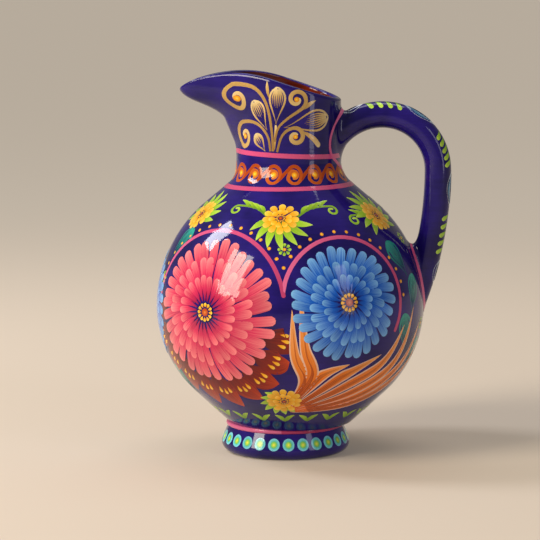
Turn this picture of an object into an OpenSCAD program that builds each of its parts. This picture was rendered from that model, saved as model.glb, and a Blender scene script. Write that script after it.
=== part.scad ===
// Hand-built clay pitcher: round body, low foot ring, waisted neck, beaked mouth and loop handle.
// Each piece is shaped by itself and luted to its neighbours with slip before the firing.
// The origin is the centre of the foot ring on the table. The spout points to -X and the handle to +X.

/* [Body] */
// Largest outer radius of the body
belly_r = 98.5; // [90:0.5:110]
// Height of the widest part above the table
belly_z = 109; // [100:0.5:125]
// Radius of the flatter arc below the widest part
lower_r = 85.5; // [78:0.5:94]
// Angle below level at which the lower arc runs straight down to the foot
lower_slope = 47; // [43:0.5:50]
// Height of the flat underside above the table
floor_z = 21.5; // [16:0.5:22]
// Thickness of the body and neck walls
wall = 6; // [4:0.25:9]
// How far the body stands off the foot ring's axis, towards the handle
body_offset = 3.5; // [0:0.5:6]

/* [Foot] */
// Largest radius of the foot ring
foot_r = 47.5; // [44:0.5:56]
// Radius of the foot ring where its wall would reach its full height
foot_top_r = 39.5; // [37:0.5:46]
// Radius of the round edge at the bottom of the foot ring
foot_bead_r = 7; // [3:0.5:9]
// Inner radius of the foot ring
foot_bore_r = 31; // [22:0.5:34]
// Width of the bevel on the inner bottom edge of the foot ring
foot_bevel = 1.5; // [0.5:0.25:3]

/* [Neck] */
// Outer radius of the neck at its waist
neck_r = 37; // [33:0.5:42]
// Radius of the hollow sweep from the shoulder into the neck
neck_sweep_r = 21; // [16:0.5:30]
// Slope of the straight run between the round shoulder and the hollow sweep
shoulder_angle = 50; // [44:0.5:56]
// How far above the waist the collar meets the mouth
collar_rise = 3; // [1:0.5:8]

/* [Mouth] */
// Height of the rim on the handle side, above the collar
rim_low = 42.5; // [38:0.5:54]
// How far the rim rises from the handle side to its crest
rim_rise = 19; // [12:0.5:26]
// Distance of the rim's crest from the body's axis, towards the spout
crest_x = 40; // [30:0.5:48]
// Radius of the rim's curve on the handle side of the crest
crest_r = 100; // [60:1:140]
// Thickness of the wall at the rim
lip_wall = 4.5; // [3:0.25:6]
// Height of the rounding on the rim
lip_round = 2; // [0.5:0.25:3]

/* [Spout] */
// How far the tip of the beak reaches from the body's axis
beak_reach = 82.5; // [72:0.5:96]
// Radius of the beak's tip, seen from above
beak_tip_r = 9; // [6.5:0.5:14]
// How far the tip drops below the rim's crest
beak_droop = 9.5; // [6:0.5:16]
// Height of the beak's underside corner above the collar
chin_rise = 33; // [26:0.5:36]
// How far the throat has swollen out at the underside corner
chin_out = 14; // [8:0.5:20]
// Thickness of the clay under the beak's channel
beak_floor = 5; // [3:0.25:7]

/* [Handle] */
// Radius of the round handle
handle_r = 9.75; // [7:0.25:11]
// How far the handle's outermost centreline stands outside the widest part of the body
handle_stand = 9.5; // [6:0.5:18]
// Height of the handle's root above the collar
handle_root_rise = 18; // [15:0.5:20]
// Angle at which the handle's underside climbs out of the neck
handle_lean = 63; // [50:1:66]
// Radius of the upper bend
handle_bend_r = 40.5; // [32:0.5:46]
// Radius of the long curve down to the body
handle_tail_r = 275; // [200:5:360]
// Reach of the clay smoothed round the handle's root on the neck
upper_fillet = 8; // [3:0.25:9]
// Reach of the clay smoothed round the handle's end on the body
lower_fillet = 5; // [3:0.25:8]

/* [Hidden] */

// Colour of the painted ground on each kind of piece
ground_blue = "#33247a";
ground_deep = "#2b1d68";
band_pink = "#d8487c";

// Fineness of the true revolves and of the lofted pieces
$fn = 96;
mouth_turns = 54;
beak_turns = 36;
throat_rows = 6;
beak_rows = 9;
lip_rows = 4;
fillet_turns = 40;
fillet_rows = 6;

// How far a straight run dips into the arc that it meets, so that the two cross cleanly
bite = 0.02;

// Thickness of the slip between a fillet and the clay that it is smoothed onto
slip = 0.05;

// Length of solids that only serve to trim others
trim_h = 4 * belly_z;

// Centre of the lower arc, tangent to the upper sphere at the widest part, and where it turns straight
lower_x = belly_r - lower_r;
below = [cos(lower_slope), -sin(lower_slope)];

// Centre of the hollow sweep, tangent to the straight run and upright at the waist
away = [cos(shoulder_angle), sin(shoulder_angle)];
sweep_x = neck_r + neck_sweep_r;
waist_z = belly_z + (belly_r + neck_sweep_r - sweep_x * away[0]) / away[1];
collar_top_z = waist_z + collar_rise;

// The foot ring's wall leaves the round edge as a tangent and runs up past the body's underside
cope_over = 1;
foot_top_z = max(floor_z + cope_over, run_z(0, foot_r + body_offset));
foot_bead = [foot_r - foot_bead_r, foot_bead_r - bite];
foot_rise = [foot_top_r, foot_top_z] - foot_bead;
foot_touch = atan2(foot_rise[1], foot_rise[0]) - acos((foot_bead_r - bite) / norm(foot_rise));

// Faces of the handle, the neck and the body under a fillet, with the slip between
grip_r = handle_r + slip;
neck_seat_r = neck_r + slip;
belly_seat_r = belly_r + slip;

// The rim: a slope up from the handle side, a crest over the throat and a droop to the beak's tip
rim_low_z = collar_top_z + rim_low;
crest_z = rim_low_z + rim_rise;
slope_run = crest_x + neck_r;
slope_lead = atan2(crest_r - rim_rise, slope_run);
slope_angle = asin(crest_r / norm([slope_run, crest_r - rim_rise])) - slope_lead;
droop_run = beak_reach - crest_x;
droop_r = (pow(droop_run, 2) + pow(beak_droop, 2)) / (2 * beak_droop);

// The beak's underside: the throat swells up to a corner, then the beak runs out to its tip
chin_z = collar_top_z + chin_rise;
chin_reach = neck_r + chin_out;
tip_z = crest_z - beak_droop;
tip_in_r = beak_tip_r - lip_wall;
beak_half = acos((neck_r - beak_tip_r) / (beak_reach - beak_tip_r)) + 1;

// Centres and radii of the handle's three curves in the XZ plane, from the body's axis and kept to 0.01 mm
handle_reach = belly_r + handle_stand;
bend_x = handle_reach - handle_bend_r;
root_run = bend_x - neck_r;
handle_root_r = round(100 * (root_run / sin(handle_lean) + handle_r)) / 100;
root_z = collar_top_z + handle_root_rise - sqrt(pow(handle_root_r, 2) - pow(root_run, 2));
bend_z = round(100 * (root_z + handle_root_r - handle_bend_r)) / 100;
root_centre_z = bend_z + handle_bend_r - handle_root_r;
tail_x = handle_reach - handle_tail_r;
root_turn = asin(min(0.98, (root_run + neck_r / 2) / handle_root_r));
tail_turn = 3 - atan2(tail_meet(0)[1], tail_meet(0)[0]);

// Radius of the body's straight run at height z, set in from the outside by some depth
function run_r(depth, z) =
    lower_x + (lower_r - depth - bite - (belly_z - z) * sin(lower_slope)) / cos(lower_slope);

// Height of the body's straight run at radius r, set in from the outside by some depth
function run_z(depth, r) =
    belly_z - (lower_r - depth - bite - (r - lower_x) * cos(lower_slope)) / sin(lower_slope);

// Height of the rim over a point at distance x from the body's axis, positive towards the handle
function rim_z(x) =
    let (run = x + crest_x)
    run < 0 ? crest_z - droop_r + sqrt(pow(droop_r, 2) - pow(min(-run, droop_run), 2))
    : run < crest_r * sin(slope_angle) ? crest_z - crest_r + sqrt(pow(crest_r, 2) - pow(run, 2))
    : rim_low_z + (slope_run - run) * tan(slope_angle);

// Distance of the wall from the axis on the spout's centre line, at height z
function reach_at(z) =
    z <= collar_top_z ? neck_r
    : z < chin_z ? neck_r + chin_out * (z - collar_top_z) / chin_rise
    : chin_reach + (beak_reach - chin_reach) * sin(90 * min(1, (z - chin_z) / (tip_z - lip_round - chin_z)));

// Thickness of the wall at height z, thinning from the collar to the rim
function wall_at(z) = wall + (lip_wall - wall) * min(1, max(0, (z - collar_top_z) / rim_low));

// Distance from the axis to the level outline of a round neck and a beak tip, at angle u off the spout
function outline_at(u, r, tip_r, reach) =
    let (d = reach - tip_r, far = d > r - tip_r + 0.001)
    let (side = far ? acos((r - tip_r) / d) : 0)
    let (nose = far ? atan2(tip_r * sin(side), d + tip_r * cos(side)) : 0)
    u >= side ? r
    : u >= nose ? r / cos(side - u)
    : d * cos(u) + sqrt(max(0, pow(tip_r, 2) - pow(d * sin(u), 2)));

function outer_at(u, z) = outline_at(u, neck_r, beak_tip_r, reach_at(z));

function inner_at(u, z) =
    let (t = wall_at(z))
    outline_at(u, neck_r - t, tip_in_r, min(reach_at(z - beak_floor), reach_at(z) - t));

// Heights of the wall's rows from the collar to the shoulder of the rim's rounding
function row_heights(top) = concat(
    [for (i = [0 : throat_rows - 1]) collar_top_z + chin_rise * i / throat_rows],
    [for (i = [0 : beak_rows]) chin_z + (top - lip_round - chin_z) * i / beak_rows]
);

// One upright slice of the wall at turning angle a, as a closed loop up the outside and down the inside
function wall_slice(a) =
    let (u = 180 - abs(a))
    let (rim = outline_at(u, neck_r, beak_tip_r, beak_reach))
    let (top = rim_z(rim * cos(a)))
    let (rows = row_heights(top), last = len(rows) - 1)
    let (out_r = outer_at(u, rows[last]), in_r = inner_at(u, rows[last]))
    let (mid = (out_r + in_r) / 2, half = (out_r - in_r) / 2)
    let (profile = concat(
        [for (z = rows) [outer_at(u, z), z]],
        [for (k = [1 : 2 * lip_rows])
            let (b = 180 * k / (2 * lip_rows + 1))
            [mid + half * cos(b), rows[last] + lip_round * sin(b)]],
        [for (i = [last : -1 : 0]) [inner_at(u, rows[i]), rows[i]]]
    ))
    [for (p = profile) [p[0] * cos(a), p[0] * sin(a), p[1]]];

// Angle a wrapped into the range that the slices use
function wrapped(a) = a > 180 ? a - 360 : a;

// Part of the wall between two turning angles, closed at both ends by the flat luting faces
module wall_sector(from, to, turns) {
    slices = [for (i = [0 : turns]) wall_slice(wrapped(from + (to - from) * i / turns))];
    n = len(slices[0]);
    sides = [for (i = [0 : turns - 1], j = [0 : n - 1]) each [
        [i * n + j, i * n + (j + 1) % n, (i + 1) * n + j],
        [i * n + (j + 1) % n, (i + 1) * n + (j + 1) % n, (i + 1) * n + j]
    ]];
    start = [for (j = [0 : n / 2 - 2]) each cap_pair(j, n, 0, false)];
    end = [for (j = [0 : n / 2 - 2]) each cap_pair(j, n, turns * n, true)];
    polyhedron(points = [for (s = slices) each s], faces = concat(sides, start, end), convexity = 6);
}

// Two triangles that close a slice between its outside and its inside
function cap_pair(j, n, first, flip) =
    let (a = first + j, b = first + j + 1, c = first + n - 2 - j, d = first + n - 1 - j)
    flip ? [[a, b, d], [b, c, d]] : [[a, d, b], [b, d, c]];

// Points of a fillet's slice: down the rounding from the handle to the wall and back along both to the corner
function fillet_slice(grip, seat, corner) = concat(
    [for (k = [0 : fillet_rows])
        let (t = k / fillet_rows)
        pow(1 - t, 2) * grip[1] + 2 * t * (1 - t) * corner + pow(t, 2) * seat[1]],
    [seat[0], corner, grip[0]]
);

// A vector at right angles to the wall's normal, along the part of v that lies in the wall
function along_wall(v, normal) =
    let (flat = v - (v * normal) * normal)
    flat / norm(flat);

// Point of the neck's round wall nearest to p
function on_neck(p) =
    let (r = norm([p[0], p[1]]))
    [p[0] * neck_seat_r / r, p[1] * neck_seat_r / r, p[2]];

// Point of the body's sphere nearest to p
function on_belly(p) =
    let (v = p - [0, 0, belly_z])
    [0, 0, belly_z] + v * belly_seat_r / norm(v);

// Slice of the upper fillet at angle a round the handle's curve out of the neck
function upper_slice(a) =
    let (y = grip_r * sin(a), r = handle_root_r + grip_r * cos(a))
    let (x = sqrt(pow(neck_seat_r, 2) - pow(y, 2)) - bend_x)
    let (z = sqrt(pow(r, 2) - pow(x, 2)))
    let (turn = atan2(z, x), back = upper_fillet / r * 180 / PI)
    let (corner = [bend_x + x, y, root_centre_z + z])
    let (side = [cos(a) * cos(turn), sin(a), cos(a) * sin(turn)])
    let (way = along_wall(side, [corner[0], corner[1], 0] / neck_seat_r))
    fillet_slice(
        [for (k = [0.5, 1])
            let (b = turn - k * back)
            [bend_x + r * cos(b), y, root_centre_z + r * sin(b)]],
        [for (k = [0.5, 1]) on_neck(corner + k * upper_fillet * way)],
        corner
    );

// Where the handle's long curve meets the body, on the line at angle a round it, from the curve's centre
function tail_meet(a) =
    let (y = grip_r * sin(a), r = handle_tail_r + grip_r * cos(a))
    let (q = sqrt(pow(belly_seat_r, 2) - pow(y, 2)))
    let (gap = [-tail_x, belly_z - bend_z], d = norm(gap), e = gap / d)
    let (along = (pow(r, 2) - pow(q, 2) + pow(d, 2)) / (2 * d))
    let (off = sqrt(pow(r, 2) - pow(along, 2)))
    [along * e[0] - off * e[1], along * e[1] + off * e[0]];

// Slice of the lower fillet at angle a round the handle's long curve
function lower_slice(a) =
    let (y = grip_r * sin(a), r = handle_tail_r + grip_r * cos(a), meet = tail_meet(a))
    let (turn = atan2(meet[1], meet[0]), back = lower_fillet / r * 180 / PI)
    let (corner = [tail_x + meet[0], y, bend_z + meet[1]])
    let (side = [cos(a) * cos(turn), sin(a), cos(a) * sin(turn)])
    let (way = along_wall(side, (corner - [0, 0, belly_z]) / belly_seat_r))
    fillet_slice(
        [for (k = [0.5, 1])
            let (b = turn + k * back)
            [tail_x + r * cos(b), y, bend_z + r * sin(b)]],
        [for (k = [0.5, 1]) on_belly(corner + k * lower_fillet * way)],
        corner
    );

// A closed ring of slices
module slice_ring(slices) {
    m = len(slices);
    n = len(slices[0]);
    polyhedron(
        points = [for (s = slices) each s],
        faces = [for (i = [0 : m - 1], j = [0 : n - 1]) each [
            [i * n + j, ((i + 1) % m) * n + j, i * n + (j + 1) % n],
            [i * n + (j + 1) % n, ((i + 1) % m) * n + j, ((i + 1) % m) * n + (j + 1) % n]
        ]],
        convexity = 6
    );
}

// Filled face of the lower body, set in from the outside by some depth and run on above the widest part
module lower_fill(depth, over) {
    centre = [lower_x, belly_z];
    r = lower_r - depth;
    side = belly_r + wall;
    low = floor_z + depth;
    difference() {
        polygon([
            [-depth, belly_z + over],
            [side, belly_z + over],
            [side, run_z(depth, side)],
            [run_r(depth, low), low],
            [-depth, low]
        ]);
        difference() {
            polygon([centre, centre + 3 * r * below, centre + [3 * r, r]]);
            translate(centre) circle(r);
        }
    }
}

// Triangle below or above the slanted luting face that starts at the widest part
module luting_wedge(side) {
    polygon([
        [belly_r + 2 * wall, belly_z - 2 * wall],
        [belly_r - 3 * wall, belly_z + 3 * wall],
        [belly_r - side * 3 * wall, belly_z - side * 2 * wall]
    ]);
}

// Face of the round shoulder wall, from the widest part to the start of the straight run
module shoulder_face() {
    far = 2 * belly_r;
    difference() {
        intersection() {
            translate([0, belly_z]) circle(belly_r);
            polygon([[0, belly_z], [far, belly_z], [far, belly_z + far * tan(shoulder_angle)]]);
        }
        translate([0, belly_z]) circle(belly_r - wall);
    }
}

// Filled face inside the collar's outline, set in from the outside by some depth and run past its ends
module collar_fill(depth, past) {
    sweep = [sweep_x, waist_z];
    difference() {
        polygon([
            [-past, belly_z - 3 * past],
            [0, belly_z] + (belly_r - depth) * away,
            sweep - (neck_sweep_r + depth - bite) * away,
            sweep,
            [neck_r - depth, waist_z],
            [neck_r - depth, collar_top_z + past],
            [-past, collar_top_z + past]
        ]);
        translate(sweep) circle(neck_sweep_r + depth);
    }
}

// Cross-section of the foot ring, with its round outer edge, before it is coped
module foot_face() {
    lean = [cos(foot_touch), sin(foot_touch)];
    down = [lean[1], -lean[0]];
    far = 4 * foot_bead_r;
    difference() {
        polygon([
            [foot_bore_r + foot_bevel, 0],
            [foot_r + foot_bead_r, 0],
            foot_bead + (foot_bead_r - bite) * lean + foot_bead_r * down,
            [foot_top_r, foot_top_z],
            [foot_bore_r, foot_top_z],
            [foot_bore_r, foot_bevel]
        ]);
        difference() {
            polygon([foot_bead, foot_bead + [0, -far], foot_bead + [far, -far], foot_bead + far * lean]);
            translate(foot_bead) circle(foot_bead_r);
        }
    }
}

// Low ring that the pitcher stands on, coped to the body's underside
module foot_ring() {
    color(ground_deep) {
        difference() {
            rotate_extrude() foot_face();
            translate([body_offset, 0, floor_z]) rotate(90) {
                cylinder(h = foot_top_z, r1 = run_r(0, floor_z), r2 = run_r(0, floor_z + foot_top_z));
            }
        }
    }
}

// Lower half of the body with its floor, bevelled at the widest part
module lower_body() {
    color(ground_blue) {
        translate([body_offset, 0, 0]) {
            rotate_extrude() {
                difference() {
                    lower_fill(0, wall);
                    lower_fill(wall, 2 * wall);
                    luting_wedge(-1);
                }
            }
        }
    }
}

// Round shoulder of the body, open at the top for the neck
module upper_body() {
    color(ground_blue) {
        translate([body_offset, 0, 0]) {
            rotate_extrude() {
                difference() {
                    shoulder_face();
                    luting_wedge(1);
                }
            }
        }
    }
}

// Collar from the shoulder's straight run through the hollow sweep to the waist
module neck_collar() {
    color(ground_deep) {
        translate([body_offset, 0, 0]) {
            rotate_extrude() {
                difference() {
                    collar_fill(0, 0);
                    collar_fill(wall, 1);
                }
            }
        }
    }
}

// Upright wall of the mouth, open towards the beak
module mouth_wall() {
    color(ground_blue) {
        translate([body_offset, 0, 0]) wall_sector(beak_half - 180, 180 - beak_half, mouth_turns);
    }
}

// Beak luted into the open side of the mouth, with its pouring channel
module spout() {
    color(ground_blue) {
        translate([body_offset, 0, 0]) wall_sector(180 - beak_half, 180 + beak_half, beak_turns);
    }
}

// Curved length of the round handle about a centre in the XZ plane, turning up or down from one angle
module tube_bend(x, z, r, way, from, turn) {
    translate([x, 0, z]) {
        rotate([way * 90, 0, 0]) rotate([0, 0, from]) {
            rotate_extrude(angle = turn) translate([r, 0]) circle(handle_r);
        }
    }
}

// Round loop handle, coped to the neck and to the body
module handle() {
    color(ground_deep) {
        translate([body_offset, 0, 0]) {
            difference() {
                union() {
                    tube_bend(bend_x, root_centre_z, handle_root_r, 1, 90, root_turn);
                    tube_bend(bend_x, bend_z, handle_bend_r, 1, 0, 90);
                    tube_bend(tail_x, bend_z, handle_tail_r, -1, 0, tail_turn);
                }
                translate([0, 0, belly_z]) cylinder(r = neck_r, h = trim_h);
                translate([0, 0, belly_z]) sphere(belly_r);
            }
        }
    }
}

// Clay smoothed round the handle's root on the neck
module upper_luting_fillet() {
    color(band_pink) {
        translate([body_offset, 0, 0]) {
            slice_ring([for (i = [0 : fillet_turns - 1]) upper_slice(360 * i / fillet_turns)]);
        }
    }
}

// Clay smoothed round the handle's end on the body
module lower_luting_fillet() {
    color(band_pink) {
        translate([body_offset, 0, 0]) {
            slice_ring([for (i = [0 : fillet_turns - 1]) lower_slice(360 * i / fillet_turns)]);
        }
    }
}

foot_ring();
lower_body();
upper_body();
neck_collar();
mouth_wall();
spout();
handle();
upper_luting_fillet();
lower_luting_fillet();
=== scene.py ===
"""Hand-built clay pitcher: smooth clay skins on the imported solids, brushed ornament and a gloss varnish."""

import logging
import math
import random
from abc import ABC, abstractmethod
from bisect import bisect_left
from dataclasses import dataclass
from enum import Enum
from typing import Any, Callable, ClassVar, Sequence

import bmesh
import bpy
from bmesh.types import BMesh, BMVert
from bpy.types import Material, Node, NodeTree, Object
from mathutils import Matrix, Vector


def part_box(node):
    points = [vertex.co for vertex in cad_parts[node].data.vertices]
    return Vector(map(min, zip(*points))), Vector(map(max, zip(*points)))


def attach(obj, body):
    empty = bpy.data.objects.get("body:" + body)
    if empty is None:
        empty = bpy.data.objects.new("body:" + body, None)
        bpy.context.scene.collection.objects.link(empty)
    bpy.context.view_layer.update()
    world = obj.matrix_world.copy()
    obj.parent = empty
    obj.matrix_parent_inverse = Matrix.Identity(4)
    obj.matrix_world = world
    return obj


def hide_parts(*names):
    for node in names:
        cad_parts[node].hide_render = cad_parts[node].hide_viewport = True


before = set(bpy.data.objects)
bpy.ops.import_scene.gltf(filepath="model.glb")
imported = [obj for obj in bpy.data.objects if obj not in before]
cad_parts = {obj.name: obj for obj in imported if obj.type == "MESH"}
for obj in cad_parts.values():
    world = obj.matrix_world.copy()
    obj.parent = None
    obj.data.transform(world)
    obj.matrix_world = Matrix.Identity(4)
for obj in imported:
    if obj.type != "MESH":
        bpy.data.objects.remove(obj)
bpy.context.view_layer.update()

LOG = logging.getLogger("pitcher")
MM = 0.001
BODY = "root"
# Points nearer to each other than this many millimetres are one point
WELD = 0.001
Point = tuple[float, float]
Point3 = tuple[float, float, float]
Colour = tuple[float, float, float, float]
Place = Callable[[float, float], Vector]

# Clear gloss varnish over every paint: deep colours under a thin wet film that mirrors the lamps
VARNISH: dict[str, float] = {
    "Roughness": 0.4,
    "Specular IOR Level": 0.02,
    "Coat Weight": 1.0,
    "Coat Roughness": 0.05,
    "Coat IOR": 1.38,
}


def mm_box(node: str) -> tuple[Vector, Vector]:
    """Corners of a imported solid's box.

    Args:
        node: Name of the solid.

    Returns:
        Lowest and highest corner in millimetres.
    """
    low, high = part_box(node)
    return low / MM, high / MM


def ladder(start: float, end: float, steps: int) -> list[float]:
    """Evenly spaced values from start to end, both included."""
    return [start + (end - start) * k / steps for k in range(steps + 1)]


def arc(centre: Point, radius: float, start: float, end: float, steps: int) -> list[Point]:
    """Points along a round stretch of an outline.

    Args:
        centre: Centre of the round.
        radius: Radius in millimetres.
        start: First angle in degrees.
        end: Last angle in degrees.
        steps: Number of equal parts.

    Returns:
        The points, both ends included.
    """
    turns = [math.radians(a) for a in ladder(start, end, steps)]
    return [(centre[0] + radius * math.cos(a), centre[1] + radius * math.sin(a)) for a in turns]


def smooth(t: float) -> float:
    """Eases a share from 0 to 1 with level ends."""
    t = min(1.0, max(0.0, t))
    return t * t * (3 - 2 * t)


@dataclass(frozen=True)
class Form:
    """Sizes of the pot in millimetres and degrees, and the formulas of its walls about the body's own axis.

    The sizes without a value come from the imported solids.
    """

    axis_x: float
    belly_r: float
    belly_z: float
    floor_z: float
    foot_r: float
    collar_top: float
    crest_z: float
    beak_reach: float
    handle_r: float
    handle_reach: float
    handle_top: float
    # Body
    lower_r: float = 85.5
    lower_slope: float = 47.0
    heel_r: float = 9.0
    wall: float = 6.0
    shoulder: float = 50.0
    # Neck
    neck_r: float = 37.0
    sweep_r: float = 21.0
    collar_rise: float = 3.0
    seam_z: float = 198.6
    swell: float = 2.9
    swell_rise: float = 32.0
    # Mouth and beak
    rim_low: float = 42.5
    rim_rise: float = 19.0
    crest_x: float = 40.0
    crest_r: float = 100.0
    lip_wall: float = 4.5
    lip_round: float = 2.0
    tip_r: float = 9.0
    droop: float = 9.5
    nose: float = 2.6
    nose_run: float = 13.0
    chin_rise: float = 33.0
    chin_out: float = 14.0
    beak_floor: float = 5.0
    thumb: float = 5.0
    # Handle
    bend_r: float = 40.5
    handle_lean: float = 63.0
    tail_r: float = 275.0
    upper_fillet: float = 8.0
    lower_fillet: float = 5.0
    crotch: float = 17.0
    # Foot
    bead_r: float = 7.0
    foot_top_r: float = 39.5
    foot_bore_r: float = 31.0
    # Parts of each round of the body's outline
    heel_rows: int = 6
    lower_rows: int = 26
    upper_rows: int = 28
    sweep_rows: int = 14

    @classmethod
    def from_frame(cls) -> "Form":
        """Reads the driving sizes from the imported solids.

        Returns:
            The form at its packed size.
        """
        upper, lower = mm_box("upper_body"), mm_box("lower_body")
        handle, spout = mm_box("handle"), mm_box("spout")
        axis_x = (upper[0].x + upper[1].x) / 2
        handle_r = handle[1].y
        return cls(
            axis_x=axis_x,
            belly_r=lower[1].y,
            belly_z=upper[0].z,
            floor_z=lower[0].z,
            foot_r=mm_box("foot_ring")[1].y,
            collar_top=mm_box("neck_collar")[1].z,
            crest_z=spout[1].z,
            beak_reach=axis_x - spout[0].x,
            handle_r=handle_r,
            handle_reach=handle[1].x - axis_x - handle_r,
            handle_top=handle[1].z - handle_r,
        )

    @property
    def axis(self) -> Vector:
        """Shift that takes a point about the body's axis into the frame."""
        return Vector((self.axis_x, 0, 0))

    @property
    def waist_z(self) -> float:
        """Height of the neck's waist."""
        return self.collar_top - self.collar_rise

    @property
    def sweep_x(self) -> float:
        """Distance of the hollow sweep's centre from the axis."""
        return self.neck_r + self.sweep_r

    def outside(self, depth: float = 0.0) -> list[Point]:
        """Outline of the revolved body and collar, from the middle of its floor up.

        Args:
            depth: How far the outline is set in from the outside.

        Returns:
            Points of radius and height.
        """
        slope = math.radians(self.lower_slope)
        lower_x = self.belly_r - self.lower_r
        floor = self.floor_z + depth
        drop = (self.belly_z - floor) * math.sin(slope)
        run_r = lower_x + (self.lower_r - depth - drop) / math.cos(slope)
        heel = (run_r - self.heel_r * math.tan((math.pi / 2 - slope) / 2), floor + self.heel_r)
        lower, upper = (lower_x, self.belly_z), (0.0, self.belly_z)
        sweep = (self.sweep_x, self.waist_z)
        points = [(0.0, floor)]
        points += arc(heel, self.heel_r, -90, -self.lower_slope, self.heel_rows)
        points += arc(lower, self.lower_r - depth, -self.lower_slope, 0, self.lower_rows)
        points += arc(upper, self.belly_r - depth, 0, self.shoulder, self.upper_rows)[1:]
        points += arc(sweep, self.sweep_r + depth, 180 + self.shoulder, 180, self.sweep_rows)
        points.append((self.neck_r - depth, self.collar_top))
        return points

    def neck_out(self, z: float, depth: float = 0.0) -> float:
        """Radius at height z of the neck's hollow sweep, or of the straight shoulder below it.

        Args:
            z: Height below the waist.
            depth: How far the line is set in from the outside.

        Returns:
            The radius in millimetres.
        """
        turn, sweep = math.radians(self.shoulder), self.sweep_r + depth
        joint = self.waist_z - sweep * math.sin(turn)
        if z >= joint:
            return self.sweep_x - math.sqrt(sweep**2 - (self.waist_z - z) ** 2)
        return self.sweep_x - sweep * math.cos(turn) + (joint - z) * math.tan(turn)

    def rim(self, x: float) -> float:
        """Height of the rim, which slopes up to a round crest and droops to the beak's bent nose.

        Args:
            x: Distance from the axis, positive towards the handle.

        Returns:
            The height in millimetres.
        """
        run = x + self.crest_x
        slope_run = self.crest_x + self.neck_r
        lead = math.atan2(self.crest_r - self.rim_rise, slope_run)
        slope = math.asin(self.crest_r / math.hypot(slope_run, self.crest_r - self.rim_rise)) - lead
        droop_run = self.beak_reach - self.crest_x
        droop_r = (droop_run**2 + self.droop**2) / (2 * self.droop)
        if run < 0:
            nose = min(1.0, max(0.0, 1 - (self.beak_reach + x) / self.nose_run))
            bent = self.nose * (1 - math.sqrt(1 - nose**2))
            return self.crest_z - droop_r + math.sqrt(droop_r**2 - min(-run, droop_run) ** 2) - bent
        if run < self.crest_r * math.sin(slope):
            return self.crest_z - self.crest_r + math.sqrt(self.crest_r**2 - run**2)
        return self.crest_z - self.rim_rise + (slope_run - run) * math.tan(slope)

    def reach(self, z: float) -> float:
        """Distance of the wall from the axis along the spout at height z, smoothed by a wet thumb."""
        return sum(self.luted_reach(z + self.thumb * k / 2) for k in range(-2, 3)) / 5

    def luted_reach(self, z: float) -> float:
        """Distance of the wall before smoothing, with the corner that the luted beak makes at its chin.

        Args:
            z: Height of the place.

        Returns:
            The distance from the axis in millimetres.
        """
        chin_z = self.collar_top + self.chin_rise
        chin_reach = self.neck_r + self.chin_out
        tip_z = self.crest_z - self.droop - self.nose - self.lip_round
        if z <= self.collar_top:
            return self.neck_r
        if z < chin_z:
            return self.neck_r + self.chin_out * (z - self.collar_top) / self.chin_rise
        share = min(1.0, (z - chin_z) / (tip_z - chin_z))
        return chin_reach + (self.beak_reach - chin_reach) * math.sin(math.pi / 2 * share)

    @staticmethod
    def outline(u: float, r: float, tip_r: float, reach: float) -> float:
        """Distance from the axis to the level outline of a round neck and a beak tip.

        Args:
            u: Angle off the spout in radians, from 0 to pi.
            r: Radius of the neck.
            tip_r: Radius of the beak's tip.
            reach: Distance of the tip from the axis.

        Returns:
            The distance in millimetres.
        """
        d = reach - tip_r
        if d <= r - tip_r + WELD:
            return r
        side = math.acos((r - tip_r) / d)
        nose = math.atan2(tip_r * math.sin(side), d + tip_r * math.cos(side))
        if u >= side:
            return r
        if u >= nose:
            return r / math.cos(side - u)
        return d * math.cos(u) + math.sqrt(max(0.0, tip_r**2 - (d * math.sin(u)) ** 2))

    def wall_at(self, z: float) -> float:
        """Thickness of the mouth's wall at height z."""
        share = min(1.0, max(0.0, (z - self.collar_top) / self.rim_low))
        return self.wall + (self.lip_wall - self.wall) * share

    def outer(self, u: float, z: float) -> float:
        """Outer radius of neck and mouth, a little fuller under the spout.

        Args:
            u: Angle off the spout in radians.
            z: Height of the place, above the seam.

        Returns:
            The radius in millimetres.
        """
        share = min(1.0, max(0.0, (z - self.seam_z) / self.swell_rise))
        full = self.swell * max(0.0, math.cos(u)) ** 2 * math.sin(math.pi * share) ** 2
        if z < self.waist_z:
            return self.neck_out(z) + full
        return self.outline(u, self.neck_r, self.tip_r, self.reach(z)) + full

    def mouth_in(self, u: float, z: float) -> float:
        """Inner radius of the mouth and of the beak's channel.

        Args:
            u: Angle off the spout in radians.
            z: Height of the place, above the collar.

        Returns:
            The radius in millimetres.
        """
        t = self.wall_at(z)
        reach = min(self.reach(z - self.beak_floor), self.reach(z) - t)
        return self.outline(u, self.neck_r - t, self.tip_r - self.lip_wall, reach)

    def mouth_top(self, u: float) -> float:
        """Height of the rim at angle u off the spout."""
        edge = self.outline(u, self.neck_r, self.tip_r, self.beak_reach)
        return self.rim(-edge * math.cos(u))


def linear(colour: str) -> Colour:
    """Turns an sRGB hex colour to linear values with full alpha."""
    parts = [int(colour[k : k + 2], 16) / 255 for k in (1, 3, 5)]
    return (*[p / 12.92 if p <= 0.04045 else ((p + 0.055) / 1.055) ** 2.4 for p in parts], 1.0)


def add(tree: NodeTree, kind: str, inputs: dict[str | int, Any] | None = None, **settings: Any) -> Node:
    """Adds a shader node with its settings and links.

    Args:
        tree: Node tree of the material.
        kind: Type name of the node.
        inputs: Value or output socket for each named input.
        **settings: Properties of the node itself.

    Returns:
        The new node.
    """
    made = tree.nodes.new(kind)
    for name, value in settings.items():
        setattr(made, name, value)
    for name, value in (inputs or {}).items():
        if isinstance(value, bpy.types.NodeSocket):
            tree.links.new(value, made.inputs[name])
        else:
            made.inputs[name].default_value = value
    return made


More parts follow.
